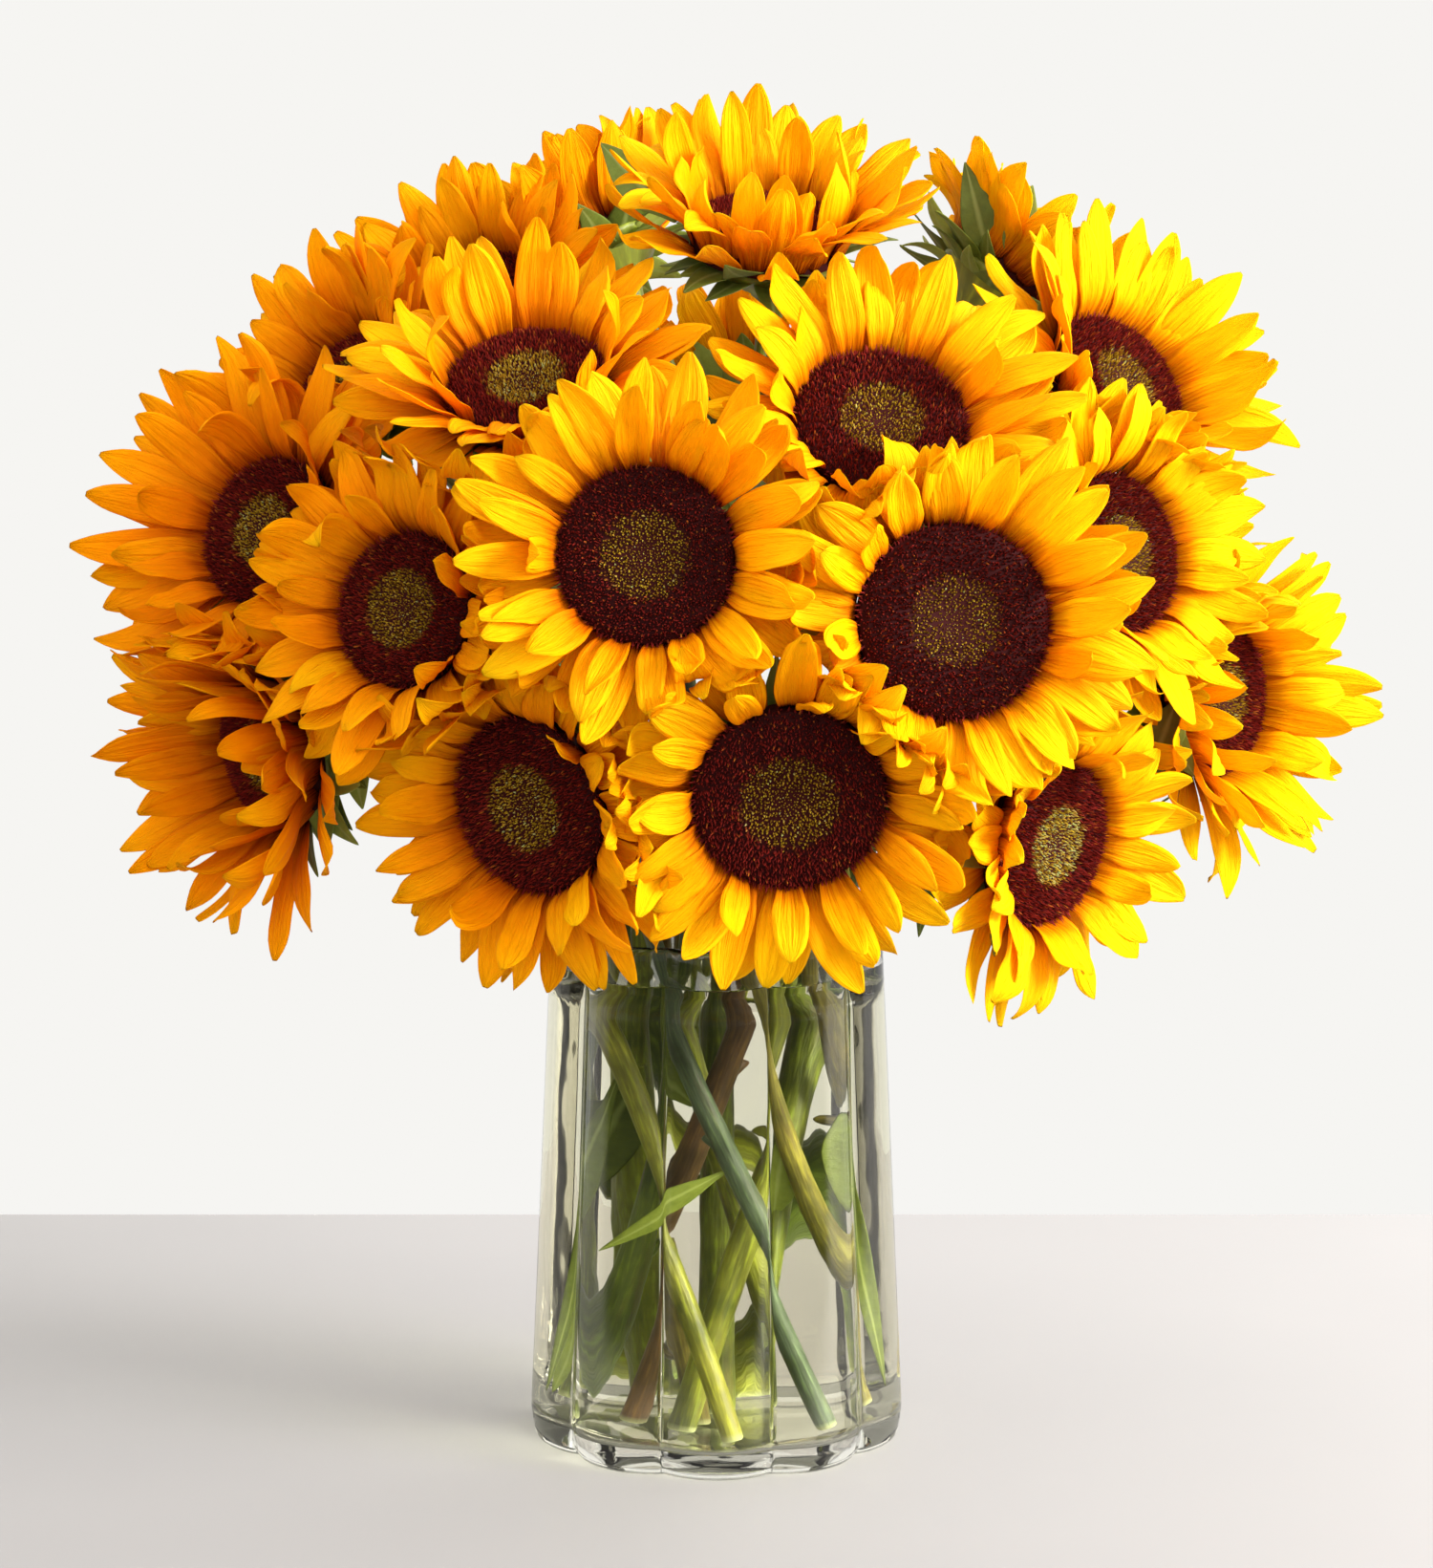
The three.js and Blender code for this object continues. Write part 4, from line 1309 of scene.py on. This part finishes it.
def make_water(material, level):
    """The water, which climbs the glass a little at its edge."""
    edge = outer_radius(level) - WALL
    surface = [
        (edge + WATER_IN_GLASS, INNER_BULGE, INNER_SOFT, level + 1.9),
        (edge - 0.2, INNER_BULGE, INNER_SOFT, level + 1.5),
        (edge - 0.8, INNER_BULGE, INNER_SOFT, level + 0.8),
        (edge - 1.8, INNER_BULGE, INNER_SOFT, level + 0.3),
        (edge - 3.6, INNER_BULGE, INNER_SOFT, level + 0.05),
        (edge - 9, 0.7, INNER_SOFT, level),
        (1, 1, INNER_SOFT, level),
    ]
    bm = fluted_skin(inner_levels(WATER_IN_GLASS) + surface)
    finished("vase_water", bm, material, ["water"])


# ---- Stage ----
def area_light(name, spot, target, power, colour):
    """A large, soft, round light at a spot, turned to its target."""
    light = bpy.data.lights.new(name, "AREA")
    light.shape = "DISK"
    light.size = LIGHT_SIZE
    light.energy = power
    light.color = srgb(colour)[:3]
    lamp = bpy.data.objects.new(name, light)
    bpy.context.scene.collection.objects.link(lamp)
    lamp.location = spot
    lamp.rotation_euler = (Vector(target) - Vector(spot)).to_track_quat("-Z", "Y").to_euler()


def make_world(look):
    """Near-white surroundings, which light the pieces most from the window's side.

    The glass shows them dark in front, and bright at the sides and behind, so that its wall looks clear.
    """
    world = bpy.data.worlds.new("Studio")
    bpy.context.scene.world = world
    world.use_nodes = True
    tree = world.node_tree
    tree.nodes.clear()
    where = add_node(tree, "ShaderNodeTexCoord")
    towards_window = add_node(
        tree,
        "ShaderNodeVectorMath",
        {0: where.outputs["Generated"], 1: WINDOW_SIDE},
        operation="DOT_PRODUCT",
    )
    window = add_node(
        tree,
        "ShaderNodeMapRange",
        {
            "Value": towards_window.outputs["Value"],
            "From Min": -1.0,
            "From Max": 1.0,
            "To Min": WINDOW_LIGHT[0] * look.fill_strength,
            "To Max": WINDOW_LIGHT[1] * look.fill_strength,
        },
    )
    lighting = add_node(
        tree, "ShaderNodeBackground", {"Color": srgb("#F4F2EE"), "Strength": window.outputs["Result"]}
    )
    direction = add_node(tree, "ShaderNodeSeparateXYZ", {"Vector": where.outputs["Generated"]})
    behind = add_node(
        tree,
        "ShaderNodeMapRange",
        {
            "Value": direction.outputs["Y"],
            "From Min": -0.9,
            "From Max": -0.6,
            "To Min": GLASS_VIEW[0],
            "To Max": GLASS_VIEW[1],
        },
    )
    through = add_node(
        tree, "ShaderNodeBackground", {"Color": srgb("#F6F5F2"), "Strength": behind.outputs["Result"]}
    )
    seen = add_node(tree, "ShaderNodeBackground", {"Color": srgb("#F6F5F2"), "Strength": 1.0})
    ray = add_node(tree, "ShaderNodeLightPath")
    unseen = add_node(
        tree,
        "ShaderNodeMixShader",
        {"Fac": glass_view(tree), 1: lighting.outputs[0], 2: through.outputs[0]},
    )
    mix = add_node(
        tree,
        "ShaderNodeMixShader",
        {"Fac": ray.outputs["Is Camera Ray"], 1: unseen.outputs[0], 2: seen.outputs[0]},
    )
    output = add_node(tree, "ShaderNodeOutputWorld")
    tree.links.new(mix.outputs[0], output.inputs["Surface"])


def make_stage(look):
    """The table top, the lights and the camera."""
    bm = bmesh.new()
    _, deep, thick = TABLE_SIZE
    middle = Matrix.Translation((0, TABLE_BACK - deep / 2, -thick / 2))
    bmesh.ops.create_cube(bm, size=1, matrix=middle @ Matrix.Diagonal((*TABLE_SIZE, 1)))
    bmesh.ops.scale(bm, vec=(MM, MM, MM), verts=bm.verts)
    mesh = bpy.data.meshes.new("table_top")
    bm.to_mesh(mesh)
    bm.free()
    mesh.materials.append(table_material(look))
    table = bpy.data.objects.new("table_top", mesh)
    bpy.context.scene.collection.objects.link(table)

    make_world(look)
    area_light("Key", KEY_AT, KEY_AIM, look.key_power, "#FFFDFA")
    area_light("Back", BACK_AT, BACK_AIM, look.key_power * BACK_SHARE, "#FFFFFF")

    camera = bpy.data.cameras.new("Camera")
    camera.sensor_width = 36
    camera.lens = LENS
    camera.clip_start = 0.05
    camera.clip_end = 50
    holder = bpy.data.objects.new("Camera", camera)
    bpy.context.scene.collection.objects.link(holder)
    holder.location = CAMERA_AT
    holder.rotation_euler = (math.radians(90 - CAMERA_TILT), 0, 0)
    bpy.context.scene.camera = holder

    view = bpy.context.scene.view_settings
    view.view_transform = "Standard"
    view.look = "None"
    view.exposure = 0
    view.gamma = 1


# ---- Settings, operators and panel ----
class BouquetSizes(bpy.types.PropertyGroup):
    """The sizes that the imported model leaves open"""

    petal_thickness: bpy.props.FloatProperty(
        name="Petal thickness",
        description="Thickness of a ray petal",
        default=0.35 * MM,
        min=0.05 * MM,
        max=MM,
        precision=5,
        unit="LENGTH",
    )
    florets: bpy.props.IntProperty(
        name="Florets a disc",
        description="How many florets stand on each disc",
        default=2800,
        min=300,
        max=6000,
    )
    water_level: bpy.props.FloatProperty(
        name="Water level",
        description="Height of the water's surface over the vase's foot",
        default=176 * MM,
        min=168 * MM,
        max=184 * MM,
        precision=4,
        unit="LENGTH",
    )


class BouquetLook(bpy.types.PropertyGroup):
    """The colours and the light"""

    petal_translucency: bpy.props.FloatProperty(
        name="Petal translucency",
        description="How much light shines through a petal instead of off it",
        default=0.42,
        min=0,
        max=1,
        subtype="FACTOR",
    )
    glass_tint: bpy.props.FloatVectorProperty(
        name="Glass tint",
        description="The cast of the vase's glass",
        default=srgb("#F8F7EF"),
        size=4,
        min=0,
        max=1,
        subtype="COLOR",
    )
    water_tint: bpy.props.FloatVectorProperty(
        name="Water tint",
        description="The cast of the water",
        default=srgb("#FBFAF0"),
        size=4,
        min=0,
        max=1,
        subtype="COLOR",
    )
    table_colour: bpy.props.FloatVectorProperty(
        name="Table colour",
        description="The paint of the table top",
        default=srgb("#959393"),
        size=4,
        min=0,
        max=1,
        subtype="COLOR",
    )
    key_power: bpy.props.FloatProperty(
        name="Key light",
        description="Power of the large soft light at the upper right",
        default=104,
        min=0,
        unit="POWER",
    )
    fill_strength: bpy.props.FloatProperty(
        name="Fill",
        description="How strongly the surroundings light the bouquet",
        default=1.32,
        min=0,
    )


class BOUQUET_OT_petals(bpy.types.Operator):
    """Makes the ray petals of every flower"""

    bl_idname = "bouquet.petals"
    bl_label = "Petals"

    def execute(self, context):
        material = petal_material(context.scene.bouquet_look)
        thickness = context.scene.bouquet_sizes.petal_thickness / MM
        for flower in FLOWERS:
            make_petals(flower, material, thickness)
        return {"FINISHED"}


class BOUQUET_OT_discs(bpy.types.Operator):
    """Makes the disc of florets of every flower"""

    bl_idname = "bouquet.discs"
    bl_label = "Discs"

    def execute(self, context):
        material = floret_material()
        for flower in FLOWERS:
            make_disc(flower, material, context.scene.bouquet_sizes.florets)
        return {"FINISHED"}


class BOUQUET_OT_stems(bpy.types.Operator):
    """Makes the stem of every flower, with the cup behind its disc"""

    bl_idname = "bouquet.stems"
    bl_label = "Stems"

    def execute(self, context):
        material = stem_material()
        for flower in FLOWERS:
            make_stem(flower, material)
        return {"FINISHED"}


class BOUQUET_OT_bracts(bpy.types.Operator):
    """Makes the green bracts behind every flower, and the leaves"""

    bl_idname = "bouquet.bracts"
    bl_label = "Bracts and leaves"

    def execute(self, context):
        material = bract_material()
        for flower in FLOWERS:
            make_bracts(flower, material)
        for number, leaf in enumerate(LEAVES, 1):
            make_leaf(number, leaf, material)
        return {"FINISHED"}


class BOUQUET_OT_vase(bpy.types.Operator):
    """Makes the fluted glass vase and the water in it"""

    bl_idname = "bouquet.vase"
    bl_label = "Vase and water"

    def execute(self, context):
        look = context.scene.bouquet_look
        make_vase(glass_material(look))
        make_water(water_material(look), context.scene.bouquet_sizes.water_level / MM)
        return {"FINISHED"}


class BOUQUET_OT_stage(bpy.types.Operator):
    """Makes the table top, the studio light and the camera"""

    bl_idname = "bouquet.stage"
    bl_label = "Stage"

    def execute(self, context):
        make_stage(context.scene.bouquet_look)
        return {"FINISHED"}


class BOUQUET_PT_panel(bpy.types.Panel):
    """The bouquet's pieces and looks"""

    bl_idname = "BOUQUET_PT_panel"
    bl_label = "Sunflowers in a vase"
    bl_space_type = "VIEW_3D"
    bl_region_type = "UI"
    bl_category = "Bouquet"

    def draw(self, context):
        for operator in OPERATORS:
            self.layout.operator(operator.bl_idname)
        for group in (context.scene.bouquet_sizes, context.scene.bouquet_look):
            for name in group.bl_rna.properties.keys():
                if name not in {"rna_type", "name"}:
                    self.layout.prop(group, name)


OPERATORS = (
    BOUQUET_OT_petals,
    BOUQUET_OT_discs,
    BOUQUET_OT_stems,
    BOUQUET_OT_bracts,
    BOUQUET_OT_vase,
    BOUQUET_OT_stage,
)
CLASSES = (BouquetSizes, BouquetLook, *OPERATORS, BOUQUET_PT_panel)


def register():
    """Adds the classes, and the settings to the scene."""
    for item in CLASSES:
        bpy.utils.register_class(item)
    bpy.types.Scene.bouquet_sizes = bpy.props.PointerProperty(type=BouquetSizes)
    bpy.types.Scene.bouquet_look = bpy.props.PointerProperty(type=BouquetLook)


def unregister():
    """Takes both away again."""
    del bpy.types.Scene.bouquet_look
    del bpy.types.Scene.bouquet_sizes
    for item in reversed(CLASSES):
        bpy.utils.unregister_class(item)


def main():
    """Registers the add-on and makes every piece."""
    register()
    bpy.ops.bouquet.petals()
    bpy.ops.bouquet.discs()
    bpy.ops.bouquet.stems()
    bpy.ops.bouquet.bracts()
    bpy.ops.bouquet.vase()
    bpy.ops.bouquet.stage()


if __name__ == "__main__":
    main()
